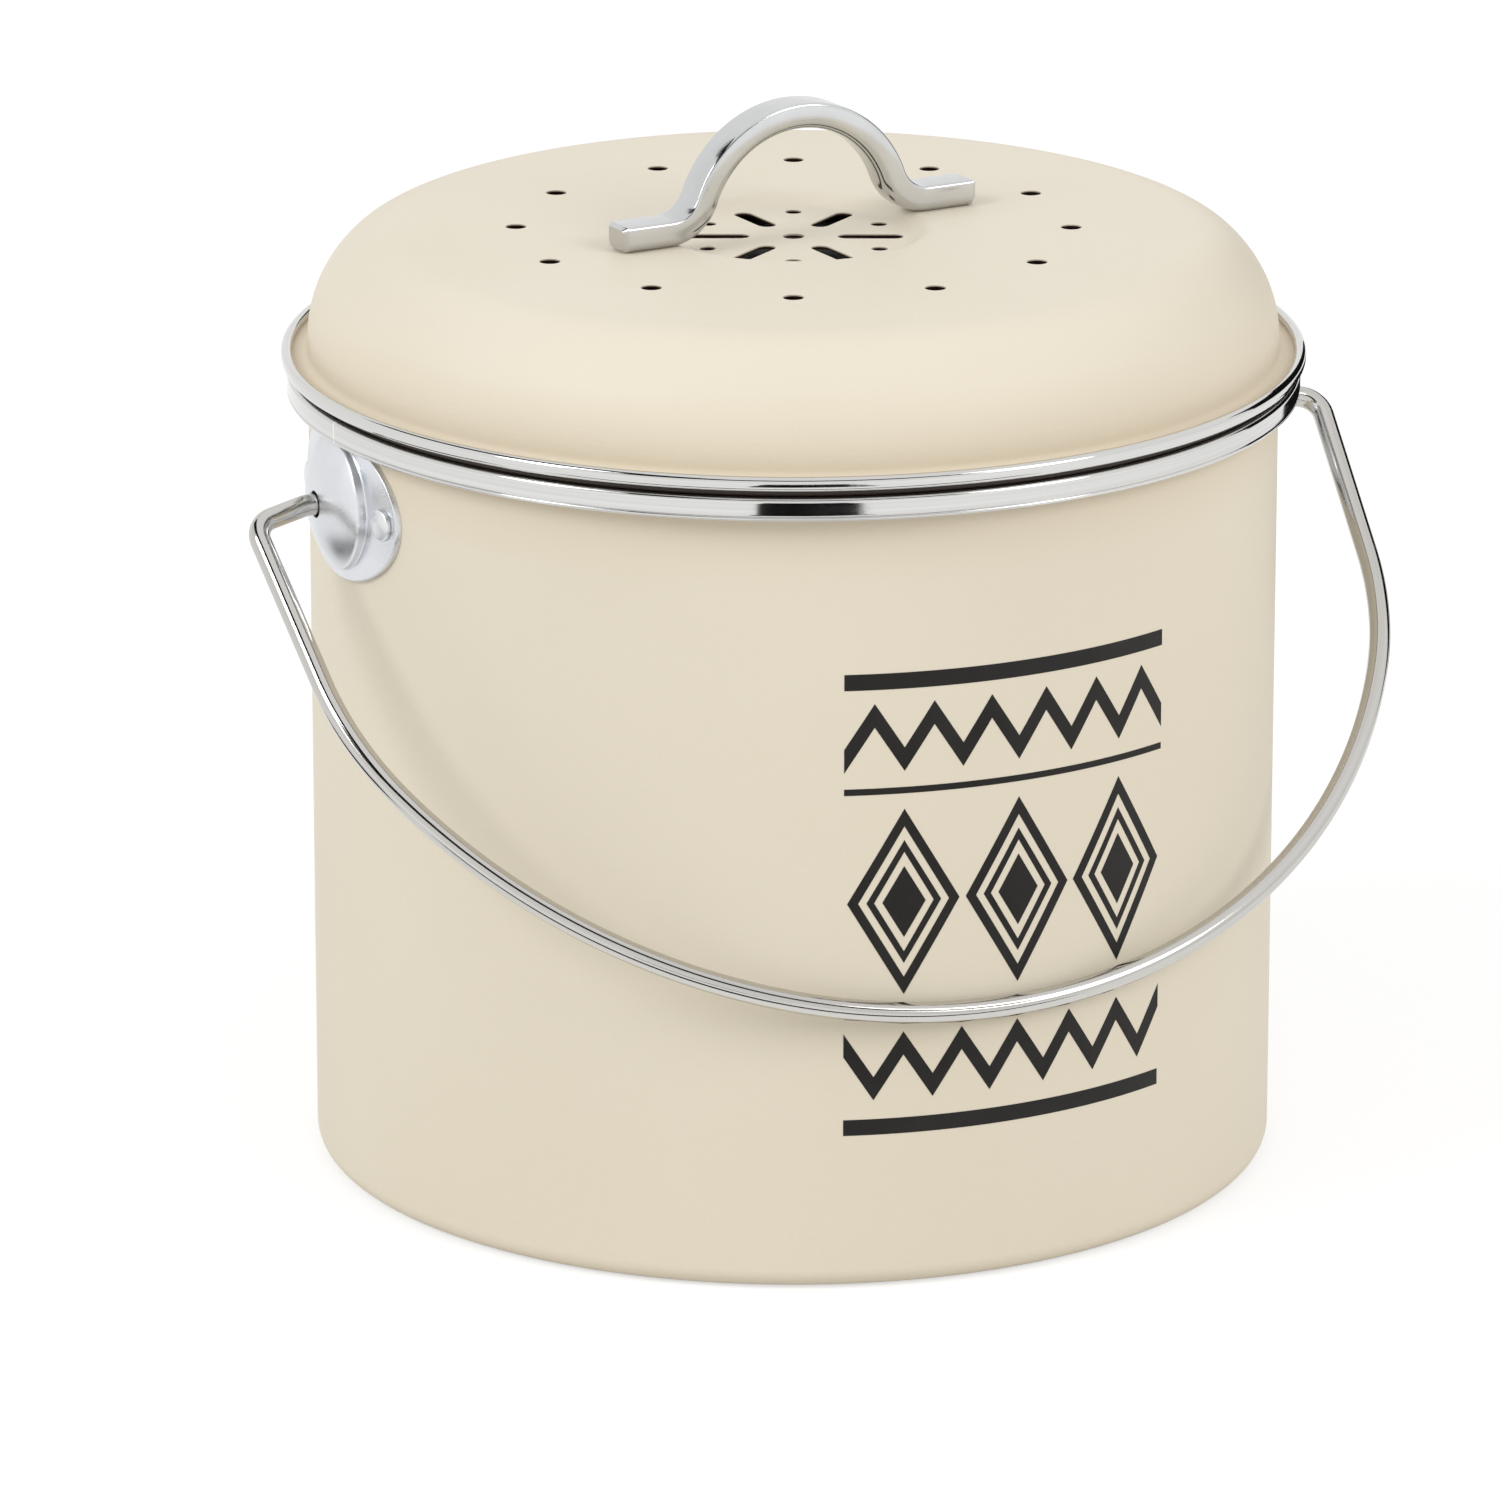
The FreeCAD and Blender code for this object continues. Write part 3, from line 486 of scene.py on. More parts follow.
base_t = 0.8
base_low, base_top = heights_of("pail_base")
base_edge = radius_of("pail_base")
step_out = foot_in - 4.0
step_in = step_out - 2.0
base_profile = outline(
    (0, base_top - base_t), (step_in, base_top - base_t), (step_out, base_low), (base_edge, base_low),
    (base_edge, base_low + base_t), (step_out, base_low + base_t), (step_in, base_top), (0, base_top),
)
turned_piece("pail_base_coated", base_profile, cream_coat, "pail", "cream_coat", "pail_base")


# %% [markdown]
# ## Hoop on the mouth
# A polished strip is rolled over the pail's mouth: a rounded shoulder, an upright face, a small bead rolled
# along its lower edge with a notch above it, and a leg down the inside. The strip is closed by a butt joint
# close to one ear, which shows as a hair line. The joint is a thin mark in the finish, found by the angle
# about the axis.

# %% Hoop
hoop_t = 0.8
hoop_h = 4.35
shoulder = 0.8
lip = 0.45
notch = 0.2
leg_out = pail_r - sheet_t - fit
leg_in = leg_out - hoop_t
under_z = rim_z - hoop_h
lip_z = under_z + 2 * lip
hoop_profile = outline(
    (leg_out, hoop_end), (leg_out, rim_z - hoop_t), (hoop_r - hoop_t, rim_z - hoop_t),
    (hoop_r - hoop_t, under_z + hoop_t), (pail_r + fit, under_z + hoop_t), (pail_r + fit, under_z),
    arc(hoop_r - lip, under_z + lip, lip, -90, 35),
    (hoop_r - 1.1 * notch, lip_z - notch / 2),
    arc(hoop_r - notch, lip_z + 0.75 * notch, notch, -60, 0, 4),
    corner(hoop_r, rim_z, shoulder, 0, 90, 12),
    corner(leg_in, rim_z, hoop_t, 90, 180),
    (leg_in, hoop_end),
)


def make_hoop_steel():
    """The polished strip with its butt joint: a light line where the angle about Z passes one value."""
    finish = polished_steel.copy()
    finish.name = "hoop_steel"
    tree = finish.node_tree
    shader = tree.nodes["Principled BSDF"].inputs
    place = add_node(tree, "SeparateXYZ", {0: add_node(tree, "TexCoord").outputs["Object"]}).outputs
    joint_angle = np.radians(-176.7)
    away = maths(tree, "SUBTRACT", maths(tree, "ARCTAN2", place["Y"], place["X"]), joint_angle)
    joint = ranged(tree, maths(tree, "ABSOLUTE", away), 0.0015, 0.0032, to_low=1.0, to_high=0.0)
    old_colour = shader["Base Color"].links[0].from_socket
    old_gloss = shader["Roughness"].links[0].from_socket
    colour = blend_of(tree, joint, old_colour, (0.86, 0.85, 0.83))
    join(tree, shader, {"Base Color": colour, "Roughness": sum_of(tree, old_gloss, joint, 0.3)})
    return finish


hoop_steel = make_hoop_steel()
turned_piece("rim_hoop_polished", hoop_profile, hoop_steel, "pail", "polished_steel", "rim_hoop", ring=True)


# %% [markdown]
# ## Ears and rivets
# Each ear is pressed from sheet: an oval plate that follows the wall, with a domed boss in the middle and a
# hole for the bail. The plate's top is cropped under the hoop. Its surface is worked out in rows about the
# hole: over the dome, down the short skirt, out over the plate to the edge, and back behind the sheet.

# %% Ears
ear_half_w = 22.0
ear_low, ear_high = heights_of("ear_left")
ear_t = 1.0
plate_in = pail_r + fit
plate_out = plate_in + ear_t
boss_r = 12.4
boss_top = plate_out + 4.75
skirt_x = plate_out + 0.9
cavity_r = boss_r - ear_t
outer_dome = (boss_r, skirt_x, boss_top)
inner_dome = (cavity_r, skirt_x - ear_t, boss_top - ear_t)
bail_hole_r = 2.45
ear_sides = (("right", 0.0), ("left", np.pi))

ear_angle = np.linspace(0, 2 * np.pi, 192, endpoint=False)
oval = 1 / np.hypot(np.cos(ear_angle) / ear_half_w, np.sin(ear_angle) / (bail_axis_z - ear_low))
ear_edge = np.minimum(oval, (ear_high - bail_axis_z) / np.maximum(np.sin(ear_angle), 1e-3))


def row(reach, x):
    """One row of the ear: reach from the hole's middle, and x, both round the hole."""
    return np.stack([reach + 0 * ear_angle, x + 0 * ear_angle], -1)[None]


def plate_x(reach, radius):
    """The plate follows the wall, so x falls off from its radius by the distance to the side."""
    return np.sqrt(radius ** 2 - (reach * np.cos(ear_angle)) ** 2)


def plate_row(reach, radius=plate_out):
    return row(reach, plate_x(reach, radius))


def dome_x(reach, foot_r, foot_x, top_x):
    """A spherical cap over a round foot."""
    rise = top_x - foot_x
    ball = (foot_r ** 2 + rise ** 2) / (2 * rise)
    return top_x - ball + np.sqrt(ball ** 2 - reach ** 2)


def dome_rows(start, end, dome, steps=14):
    return np.concatenate([row(reach, dome_x(reach, *dome)) for reach in np.linspace(start, end, steps)])


def soft_rows(start, pull, end, steps=5):
    """Rows of a soft corner from start to end: a quadratic curve pulled to a point."""
    t = np.linspace(0, 1, steps + 1)[:, None, None]
    return (1 - t) ** 2 * row(*start) + 2 * t * (1 - t) * row(*pull) + t ** 2 * row(*end)


def ear_points(soft=0.35):
    """The ear on +X, in rows from the hole's rim round to its back; y runs along the wall and z up."""
    rim_x = dome_x(bail_hole_r, *outer_dome)
    lip_x = dome_x(bail_hole_r + soft, *outer_dome)
    brow_x = dome_x(boss_r - soft, *outer_dome)
    foot_x = plate_x(boss_r + soft, plate_out)
    edge_x = plate_x(ear_edge - soft, plate_out)
    reach, x = np.moveaxis(np.concatenate([
        soft_rows((bail_hole_r, rim_x - soft), (bail_hole_r, rim_x), (bail_hole_r + soft, lip_x)),
        dome_rows(bail_hole_r + 2 * soft, boss_r - 2 * soft, outer_dome),
        soft_rows((boss_r - soft, brow_x), (boss_r, skirt_x), (boss_r, skirt_x - soft)),
        soft_rows((boss_r, foot_x + soft), (boss_r, foot_x), (boss_r + soft, foot_x)),
        plate_row(boss_r + 2 * soft),
        plate_row((boss_r + ear_edge) / 2),
        plate_row(ear_edge - 1.6 * soft),
        soft_rows((ear_edge - soft, edge_x), (ear_edge, edge_x), (ear_edge, edge_x - soft)),
        plate_row(ear_edge, plate_in),
        plate_row(cavity_r, plate_in),
        row(*inner_dome[:2]),
        dome_rows(cavity_r - soft, bail_hole_r, inner_dome),
    ]), -1, 0)
    return np.stack([x, reach * np.cos(ear_angle), bail_axis_z + reach * np.sin(ear_angle)], -1)


for side, half_turn in ear_sides:
    ear = grid(turned(ear_points(), half_turn), ring=True)
    piece("ear_%s_pressed" % side, [ear], satin_aluminium, "pail", "satin_aluminium", "ear_" + side)


# %% [markdown]
# Two rivets hold each ear. A rivet is turned about its own axis, so it is a lathe shape too, laid down so
# that its axis points out of the wall. Its head is low with a crisp edge, and its tail is set inside.

# %% Rivets
rivet_spread = (boss_r + 0.52 * (ear_half_w - boss_r)) / pail_r
head_r = 3.0
head_h = 1.2
head_soft = 0.5
crown_r = 9.0
tail_r = 2.4
tail_h = 0.9
tail_soft = 0.3
shank_r = 1.6
tail_x = np.sqrt((pail_r - sheet_t) ** 2 - tail_r ** 2)
rivet_profile = outline(
    (0, tail_x - tail_h),
    corner(tail_r, tail_x - tail_h, tail_soft, -90, 0, 4),
    (tail_r, tail_x), (shank_r, tail_x), (shank_r, plate_out), (head_r, plate_out),
    arc(head_r - head_soft, plate_out + 0.7 * head_soft, head_soft, 0, 62, 5),
    arc(0, plate_out + head_h - crown_r, crown_r, 76, 90, 6),
    hold=0.12,
)


def laid_outward(points):
    """Turn a shape's own Z axis to point along +X, at the height of the bail's axis."""
    return np.stack([points[..., 2], points[..., 0], bail_axis_z + points[..., 1]], -1)


rivet = laid_outward(spun(rivet_profile, 48))
for side, half_turn in ear_sides:
    pair = [grid(turned(rivet, half_turn + sign * rivet_spread)) for sign in (-1, 1)]
    piece("ear_rivets_%s_set" % side, pair, rivet_aluminium, "pail", "rivet_aluminium", "ear_rivets_" + side)


# %% [markdown]
# ## Bail
# The bail is one length of four millimetre wire. From its upset head in the boss it runs out, kinks, turns
# a tight corner, comes down a leaning leg, and swings through a shoulder into the wide bow. Such a line is
# easiest to say as a list of runs with a length and a turn. The heading grows evenly along each run, and
# adding up its cosine and sine gives the line. A section is then carried along it.

# %% Bent bars
def bent_line(runs, start, heading, spacing):
    """A flat line from runs of (length, turn in degrees). Gives its points and its heading at each."""
    lengths, turns = np.array(runs, float).T
    ends = np.concatenate([[0], np.cumsum(lengths)])
    headings = heading + np.concatenate([[0], np.cumsum(np.radians(turns))])
    skip = 24
    count = int(ends[-1] / spacing) * skip
    middles = (np.arange(count) + 0.5) * ends[-1] / count
    steps = unit(np.interp(middles, ends, headings)) * ends[-1] / count
    line = np.concatenate([[start], start + np.cumsum(steps, axis=0)])[::skip]
    return line, np.interp(np.linspace(0, ends[-1], len(line)), ends, headings)


def bent_bar(runs, start, section, ends, heading=0.0, spacing=0.6):
    """Carry a section (across, out) along bent runs; ends are the closing rows: reach past the run, size."""
    line, headings = bent_line(runs, start, heading, spacing)
    reach, size = np.array(ends, float).T[..., None]
    before = line[0] - unit(headings[0]) * reach
    after = line[-1] + unit(headings[-1]) * reach[::-1]
    scale = np.concatenate([size, np.ones((len(line), 1)), size[::-1]])
    line = np.concatenate([before, line, after])
    headings = np.pad(headings, len(size), mode="edge")[:, None]
    out = section[:, 1] * scale
    x = line[:, :1] - out * np.sin(headings)
    z = line[:, 1:] + out * np.cos(headings)
    return np.stack([x, section[:, 0] * scale, z], -1)


def bar_section(half_w, low, high, low_soft, high_soft, low_steps=4, high_steps=4):
    """Section of a flat bar: its lower edges have one softness and its upper edges another."""
    return np.concatenate([
        corner(half_w, low, low_soft, -90, 0, low_steps),
        corner(half_w, high, high_soft, 0, 90, high_steps),
        corner(-half_w, high, high_soft, 90, 180, high_steps),
        corner(-half_w, low, low_soft, 180, 270, low_steps),
    ])


# %% [markdown]
# The leg's length follows from the other sizes: the shoulder has to touch both the leg and the bow. That is
# one square root. The wire hangs forward against the pail, so its plane is tipped by the angle at which the
# bow rests on the wall.

# %% Bail
wire_r = 1.985
bail_drop = 122.9
half_span = boss_top + 12.2
kink_r = 6.0
kink = 15.0
kink_start = boss_top + 0.8
corner_r = 4.5
leg_turn = 94.3
shoulder_r = 67.0
bow_r = half_span + 3.0
head_end = boss_top - ear_t - 0.7
bail_rest = np.arcsin((pail_r + 2.3) / bail_drop)
upset_head = ((1.4, 0.0), (1.4, 1.5), (1.3, 1.65), (1.1, 1.7),
              (0.25, 1.7), (0.05, 1.62), (0.0, 1.5), (0.0, 1.0))


def way(degrees):
    return unit(np.radians(degrees))


def bail_runs():
    """Runs of the whole bail from boss to boss, worked out for one half and mirrored."""
    kink_end = np.array([kink_start, 0]) + kink_r * (way(90) - way(90 + kink))
    corner_x = half_span - corner_r * (1 - np.sin(np.radians(kink)))
    reach = (corner_x - kink_end[0]) / np.cos(np.radians(kink))
    corner_end = kink_end + way(kink) * reach + corner_r * (way(90 + kink) - way(90 + leg_turn))
    base = corner_end + shoulder_r * way(90 + leg_turn) - np.array([0, bail_drop - bow_r])
    ahead = base @ way(leg_turn)
    leg = -ahead + np.sqrt(ahead ** 2 - base @ base + (bow_r - shoulder_r) ** 2)
    centre = base + leg * way(leg_turn)
    bow_start = np.degrees(np.arctan2(centre[1], centre[0]))
    bends = ((kink_r, kink), (corner_r, leg_turn - kink), (shoulder_r, bow_start + 90 - leg_turn),
             (bow_r, 90 - bow_start))
    kinked, cornered, shouldered, bowed = ((radius * np.radians(turn), turn) for radius, turn in bends)
    half = [(kink_start - head_end, 0), kinked, (reach, 0), cornered, (leg, 0), shouldered, bowed]
    return half + half[::-1]


def bail_points(section_steps=28):
    """Round wire along the bail's line, with its upset heads, tipped to where it rests."""
    section = wire_r * unit(np.arange(section_steps) * 2 * np.pi / section_steps)
    x, across, hang = np.moveaxis(bent_bar(bail_runs(), (head_end, 0.0), section, upset_head), -1, 0)
    forward = across * np.cos(bail_rest) - hang * np.sin(bail_rest)
    upward = -across * np.sin(bail_rest) - hang * np.cos(bail_rest)
    return np.stack([x, forward, bail_axis_z + upward], -1)


piece("bail_wire", [grid(bail_points())], bright_wire, "bail", "bright_wire", "bail_handle", crisp=50)
print("bail wire length %.1f mm" % sum(length for length, _ in bail_runs()))


# %% [markdown]
# ## Liner
# The dark strip between lid and hoop is the flange of a black plastic liner that lifts out. It is a tapered
# cup with one wall thickness, so its profile goes down the outside and back up the inside.

# %% Liner
liner_r = leg_in - 1.55
liner_t = 1.6
liner_low = heights_of("inner_bucket")[0]
liner_low_r = liner_r - 4.0
liner_round = 8.0
flange_r = radius_of("inner_bucket")
flange_soft = 0.5
liner_profile = outline(
    (0, liner_low),
    corner(liner_low_r, liner_low, liner_round, -90, 0),
    (liner_r, rim_z),
    corner(flange_r, rim_z, flange_soft, -90, 0, 5),
    corner(flange_r, seat_z, flange_soft, 0, 90, 5),
    corner(liner_r - liner_t, seat_z, liner_t / 2, 90, 180, 6),
    corner(liner_low_r - liner_t, liner_low + liner_t, liner_round - liner_t, 0, -90),
    (0, liner_low + liner_t),
)
turned_piece("liner_moulded", liner_profile, dark_plastic, "liner", "dark_plastic", "inner_bucket")


# %% [markdown]
# ## Vented lid
# The lid is pressed from one sheet: a flat top with a shallow dish, a round shoulder, an upright side and a
# narrow ledge. Booleans would leave ragged shading round its holes, so each hole gets a cell of its own: a
# wedge of the flat top whose outline is joined to the hole's outline, over a softly rounded edge and through
# the sheet, where the punch broke out a little wider below. Cells that share an edge weld exactly.

# %% Cells with holes
punch_soft = 0.12
break_out = 0.7


def wedge(count, r_in, r_out, arc_steps, side_steps=10):
    """Outline of one wedge of a ring, about the X axis: inner arc, side, outer arc, side."""
    half = np.pi / count
    sweep = np.linspace(-half, half, arc_steps, endpoint=False)
    rise = np.linspace(r_in, r_out, side_steps, endpoint=False)[:, None]
    back = np.linspace(r_out, r_in, side_steps, endpoint=False)[:, None]
    return np.concatenate([r_in * unit(sweep), rise * unit(half), r_out * unit(-sweep), back * unit(-half)])


def holed_cell(edge, near, far, hole_r, top, under, land=0.3):
    """A wedge with a round-ended hole from near to far along X, as rows from top edge to underside."""
    spine = np.stack([np.clip(edge[:, 0], near, far), 0 * edge[:, 0]], -1)
    out = edge - spine
    out = out / np.linalg.norm(out, axis=1)[:, None]
    turn = np.radians(np.linspace(0, 90, 5))
    waist = top - land
    flare = break_out * (waist - under)
    reach = np.concatenate([[2 * punch_soft], punch_soft * (1 - np.sin(turn)), [0.0, flare]])
    level = np.concatenate([[top, top], top - punch_soft * (1 - np.cos(turn)), [waist, under, under]])
    rows = np.concatenate([edge[None], spine + out * (hole_r + reach)[:, None, None], edge[None]])
    return np.concatenate([rows, np.broadcast_to(level[:, None, None], (*rows.shape[:2], 1))], -1)


def ring_of_cells(cell, angles):
    """The same cell at several angles about the Z axis."""
    return [grid(turned(cell, angle)) for angle in angles]


# %% [markdown]
# The flat top has twelve round vents in one ring. The dish holds a star: six slots with six small holes
# between them and one hole in the middle. The lid lies a few degrees turned from the line of the ears.

# %% Lid shell
lid_t = 0.8
dome_r = pail_r
shoulder_w = 17.0
flat_r = dome_r - shoulder_w
ledge_z = seat_z + 0.4
ledge_r = radius_of("lid_shell")
hollow = 1.5
shoulder_z = ledge_z + lid_t + hollow + 1.6
shoulder_h = lid_z - shoulder_z
diagonal = np.sqrt(0.5)
upper_round = (diagonal * shoulder_w - (1 - diagonal) * shoulder_h) / (2 * diagonal - 1)
lower_round = (diagonal * shoulder_h - (1 - diagonal) * shoulder_w) / (2 * diagonal - 1)

dish_r = 26.0
dish_depth = 1.8
dish_round = 4.0
floor_z = lid_z - dish_depth
floor_r = dish_r - np.sqrt((2 * dish_round) ** 2 - (2 * dish_round - dish_depth) ** 2)
dish_turn = np.degrees(np.arccos(1 - dish_depth / (2 * dish_round)))

vent_ring = 51.3
vent_r = 1.9
star_r = 5.0
slot_near = 9.9
slot_far = 18.6
slot_r = 1.7
small_ring = 18.3
small_r = 1.5
centre_r = 1.95
vent_steps = around_steps // 12
twelfths = np.arange(12) * np.pi / 6


def shoulder_arcs(drop):
    """The shoulder from flat top to side: two arcs that meet at 45 degrees, drop inside the outer face."""
    return np.concatenate([
        arc(flat_r, lid_z - upper_round, upper_round - drop, 90, 45, 14),
        arc(dome_r - lower_round, shoulder_z, lower_round - drop, 45, 0, 16),
    ])


def dish_slope(drop):
    """The S-shaped slope of the dish on one face of the sheet, drop below its upper face."""
    return outline(
        (dish_r, lid_z - drop),
        arc(dish_r, lid_z - dish_round, dish_round - drop, 90, 90 + dish_turn, 6),
        arc(floor_r, floor_z + dish_round, dish_round + drop, dish_turn - 90, -90, 6),
    )


dome_profile = outline(
    (flat_r, lid_z),
    shoulder_arcs(0.0),
    corner(dome_r, ledge_z + lid_t, hollow, 180, 270),
    (ledge_r, ledge_z + lid_t),
    (ledge_r, ledge_z),
    corner(dome_r - lid_t, ledge_z, hollow + lid_t, 270, 180),
    shoulder_arcs(lid_t)[::-1],
)
centre_profile = outline(
    (star_r, floor_z),
    corner(centre_r, floor_z, punch_soft, 90, 180, 4),
    (centre_r, floor_z - lid_t / 2),
    (centre_r + break_out * lid_t / 2, floor_z - lid_t),
    (star_r, floor_z - lid_t),
)
vent_wedge = wedge(12, dish_r, flat_r, vent_steps)
star_wedge = wedge(12, star_r, floor_r, vent_steps)
lid_holes = (
    (vent_wedge, vent_ring, vent_ring, vent_r, lid_z, twelfths),
    (star_wedge, slot_near, slot_far, slot_r, floor_z, twelfths[1::2]),
    (star_wedge, small_ring, small_ring, small_r, floor_z, twelfths[0::2]),
)
lid_profiles = (dome_profile, dish_slope(0.0), dish_slope(lid_t), centre_profile)
lid_parts = [grid(spun(profile)) for profile in lid_profiles]
for edge, near, far, hole_r, top, angles in lid_holes:
    lid_parts += ring_of_cells(holed_cell(edge, near, far, hole_r, top, top - lid_t), angles)


def on_lid(parts):
    """Turn finished grids as the lid lies on the pail."""
    return [(turned(points, lid_turn), faces, uv) for points, faces, uv in parts]


def mark_punched(lid):
    """Mark the cut edges of the vents for painted shade: steep faces inside the flat top, fully where they
    also face down.
    """
    faces = lid.data.polygons
    normal = np.empty(len(faces) * 3)
    middle = np.empty(len(faces) * 3)
    faces.foreach_get("normal", normal)
    faces.foreach_get("center", middle)
    x, y, _ = middle.reshape(-1, 3).T / mm
    upright = normal[2::3]
    cut = (np.abs(upright) < 0.7) & (np.hypot(x, y) < flat_r - 1)
    # Painted shade share: full on cut faces that look down, a quarter on the other cut faces.
    hole_shade_share = cut * np.where(upright < -0.3, 1.0, 0.25)
    lid.data.attributes.new("punched", "FLOAT", "FACE").data.foreach_set("value", hole_shade_share.astype(np.float32))
    print("punched edges:", np.count_nonzero(cut), "faces")


lid = piece("lid_coated", on_lid(lid_parts), cream_coat, "lid", "cream_coat", "lid_shell")
mark_punched(lid)

# %% [markdown]
# ## Bead and skirt of the lid
# A polished bead is crimped over the lid's edge: round above, with a thin lip folded under the ledge.
# Inside, a Z-shaped ring of plain sheet is welded up the dome and hangs into the liner's mouth, so the lid
# can't slide off sideways.

# %% Bead and skirt
crown = 1.0
lip_t = 0.35
lip_in = bead_r - 4.0
slot_in = bead_r - 0.7
ledge_top = ledge_z + lid_t + fit
bead_profile = outline(
    (lip_in, seat_z),
    corner(bead_r, seat_z, crown, -90, 0),
    arc(bead_r - crown, bead_top - crown, crown, 0, 180, 16),
    (bead_r - 2 * crown, ledge_top), (slot_in, ledge_top),
    (slot_in, seat_z + lip_t), (lip_in, seat_z + lip_t),
)
turned_piece("lid_bead_polished", bead_profile, polished_steel, "lid", "polished_steel", "lid_rim_ring",
             ring=True)

skirt_t = 0.6
skirt_r = liner_r - liner_t - 0.8
skirt_low, skirt_high = heights_of("lid_locating_ring")
flange_in = dome_r - lid_t - fit
web_z = seat_z + 1.3
inner_round = lower_round - lid_t
flange_end = flange_in - inner_round + np.sqrt(inner_round ** 2 - (skirt_high - shoulder_z) ** 2)
skirt_profile = outline(
    (skirt_r - skirt_t, skirt_low), (skirt_r, skirt_low), (skirt_r, web_z), (flange_in, web_z),
    (flange_end, skirt_high), (flange_end - skirt_t, skirt_high),
    (flange_in - skirt_t, web_z + skirt_t), (skirt_r - skirt_t, web_z + skirt_t),
)
turned_piece("lid_skirt_rolled", skirt_profile, sheet_steel, "lid", "sheet_steel", "lid_locating_ring",
             ring=True)

# %% [markdown]
# ## Handle on the lid
# The handle is a plated bar with a flat top and rounded underside, bent into an arch with two feet. It is
# the bail's method again, with another section and small chamfers at the ends.

# %% Handle
grip_t = 5.0
grip_half_w = 3.5
grip_half = 37.5
arch_r = 21.0
foot_bend_r = 8.0
top_soft = 0.6
under_soft = 2.0
chamfer = 0.8
foot_mid = lid_z + grip_t / 2
arch_mid = heights_of("lid_handle")[1] - grip_t / 2 - arch_r
drop = foot_mid + foot_bend_r - arch_mid
foot_turn = np.degrees(np.arccos(drop / (arch_r + foot_bend_r)))
foot_run = (grip_half - np.sqrt((arch_r + foot_bend_r) ** 2 - drop ** 2) - chamfer, 0)
foot_bend = (foot_bend_r * np.radians(foot_turn), foot_turn)
arch_bend = (arch_r * np.radians(2 * foot_turn), -2 * foot_turn)
grip_section = bar_section(grip_half_w, -grip_t / 2, grip_t / 2, under_soft, top_soft, 7, 5)
grip_ends = ((chamfer, 0.0), (chamfer, 0.76), (chamfer * 0.8, 0.8))
grip = bent_bar([foot_run, foot_bend, arch_bend, foot_bend, foot_run], (chamfer - grip_half, foot_mid),
                grip_section, grip_ends)
piece("lid_handle_plated", on_lid([grid(grip)]), plated_bar, "lid", "plated_bar", "lid_handle", crisp=32)

# %% [markdown]
# Two pan-head screws with washers hold the handle from below. Both are small lathe shapes. The head has a
# shallow recess for the driver.

# %% Screws and washers
screw_u = 31.8
screw_r = 1.5
screw_low, screw_tip = heights_of("lid_handle_screws")
tip_soft = 0.3
recess_r = 0.9
recess_h = 0.7
pan_r = 2.8
pan_h = 1.9
pan_z = screw_low + pan_h
screw_profile = outline(
    (0, screw_low + recess_h), (recess_r, screw_low),
    corner(pan_r, screw_low, pan_h / 2, -90, 0, 6),
    (pan_r, pan_z), (screw_r, pan_z), (screw_r, screw_tip - tip_soft), (screw_r - tip_soft, screw_tip),
    (0, screw_tip), hold=0.1,
)
washer_r = 4.0
bore_r = screw_r + 0.25
washer_low, washer_high = heights_of("lid_handle_washers")
washer_profile = outline(
    (bore_r, washer_low), (washer_r, washer_low), (washer_r, washer_high), (bore_r, washer_high), hold=0.1,
)
either_side = np.array([[-screw_u, 0, 0], [screw_u, 0, 0]])
screws = [grid(spun(screw_profile, 40) + place) for place in either_side]
washers = [grid(spun(washer_profile, 48) + place, ring=True) for place in either_side]
piece("handle_screws_zinc", on_lid(screws), zinc_plate, "lid", "zinc_fastener", "lid_handle_screws")
piece("handle_washers_zinc", on_lid(washers), zinc_plate, "lid", "zinc_fastener", "lid_handle_washers")

# %% [markdown]
# ## Filter under the lid
# Three tongues under the lid catch three lugs of a round plastic holder, which turns out of them by the bar
# below. The holder's floor is perforated: the same cells as in the lid, in rings of six and fourteen. The
# pad in it is felt, so its faces are not quite flat and its edge is soft.

# %% Filter tongues
tab_t = 0.8
tab_half_w = 5.0
tab_soft = 0.35
tab_end = 0.1
tab_low, tab_high = heights_of("filter_tabs")
holder_r = 62.1
lug_reach = 4.0
leg_r = holder_r + lug_reach + 0.6
leg_mid_r = leg_r + tab_t / 2
tab_start = leg_r + 5.0 - tab_end
tongue_end = holder_r + 0.8 + tab_end
bend = 0.9
third_turns = np.radians([90.0, 210.0, 330.0])
tab_runs = [
    (tab_start - leg_mid_r - bend, 0),
    (bend * np.pi / 2, 90),
    (tab_high - tab_low - tab_t - 2 * bend, 0),
    (bend * np.pi / 2, -90),
    (leg_mid_r - bend - tongue_end, 0),
]
tab_section = bar_section(tab_half_w, -tab_t / 2, tab_t / 2, tab_soft, tab_soft, 3, 3)
tab = bent_bar(tab_runs, (tab_start, tab_high - tab_t / 2), tab_section, ((tab_end, 0.0), (tab_end, 0.97)),
               heading=np.pi, spacing=0.25)
tabs = [grid(turned(tab, angle)) for angle in third_turns]
piece("filter_tabs_pressed", on_lid(tabs), sheet_steel, "lid", "sheet_steel", "filter_tabs")

# %% Filter holder
holder_t = 1.6
pad_low, pad_high = heights_of("carbon_filter")
holder_low, holder_high = heights_of("filter_holder")
holder_floor = pad_low - 2.0
holder_steps = 252
hub_r = 9.0
mid_ring = 30.5
last_ring = 57.0
big_hole_r = 6.4
hole_rings = ((6, hub_r, 20.0, mid_ring), (14, mid_ring, 43.0, last_ring))
corner_soft = 0.6
brim_soft = 0.4
under_round = 1.2
holder_wall = outline(
    (last_ring, pad_low),
    corner(holder_r - holder_t, pad_low, corner_soft, -90, 0, 4),
    corner(holder_r - holder_t, holder_high, brim_soft, 180, 90, 4),
    corner(holder_r, holder_high, brim_soft, 90, 0, 4),
    corner(holder_r, holder_floor, under_round, 0, -90, 5),
    (last_ring, holder_floor),
)
hub_faces = [outline((0, z), (hub_r, z)) for z in (pad_low, holder_floor)]
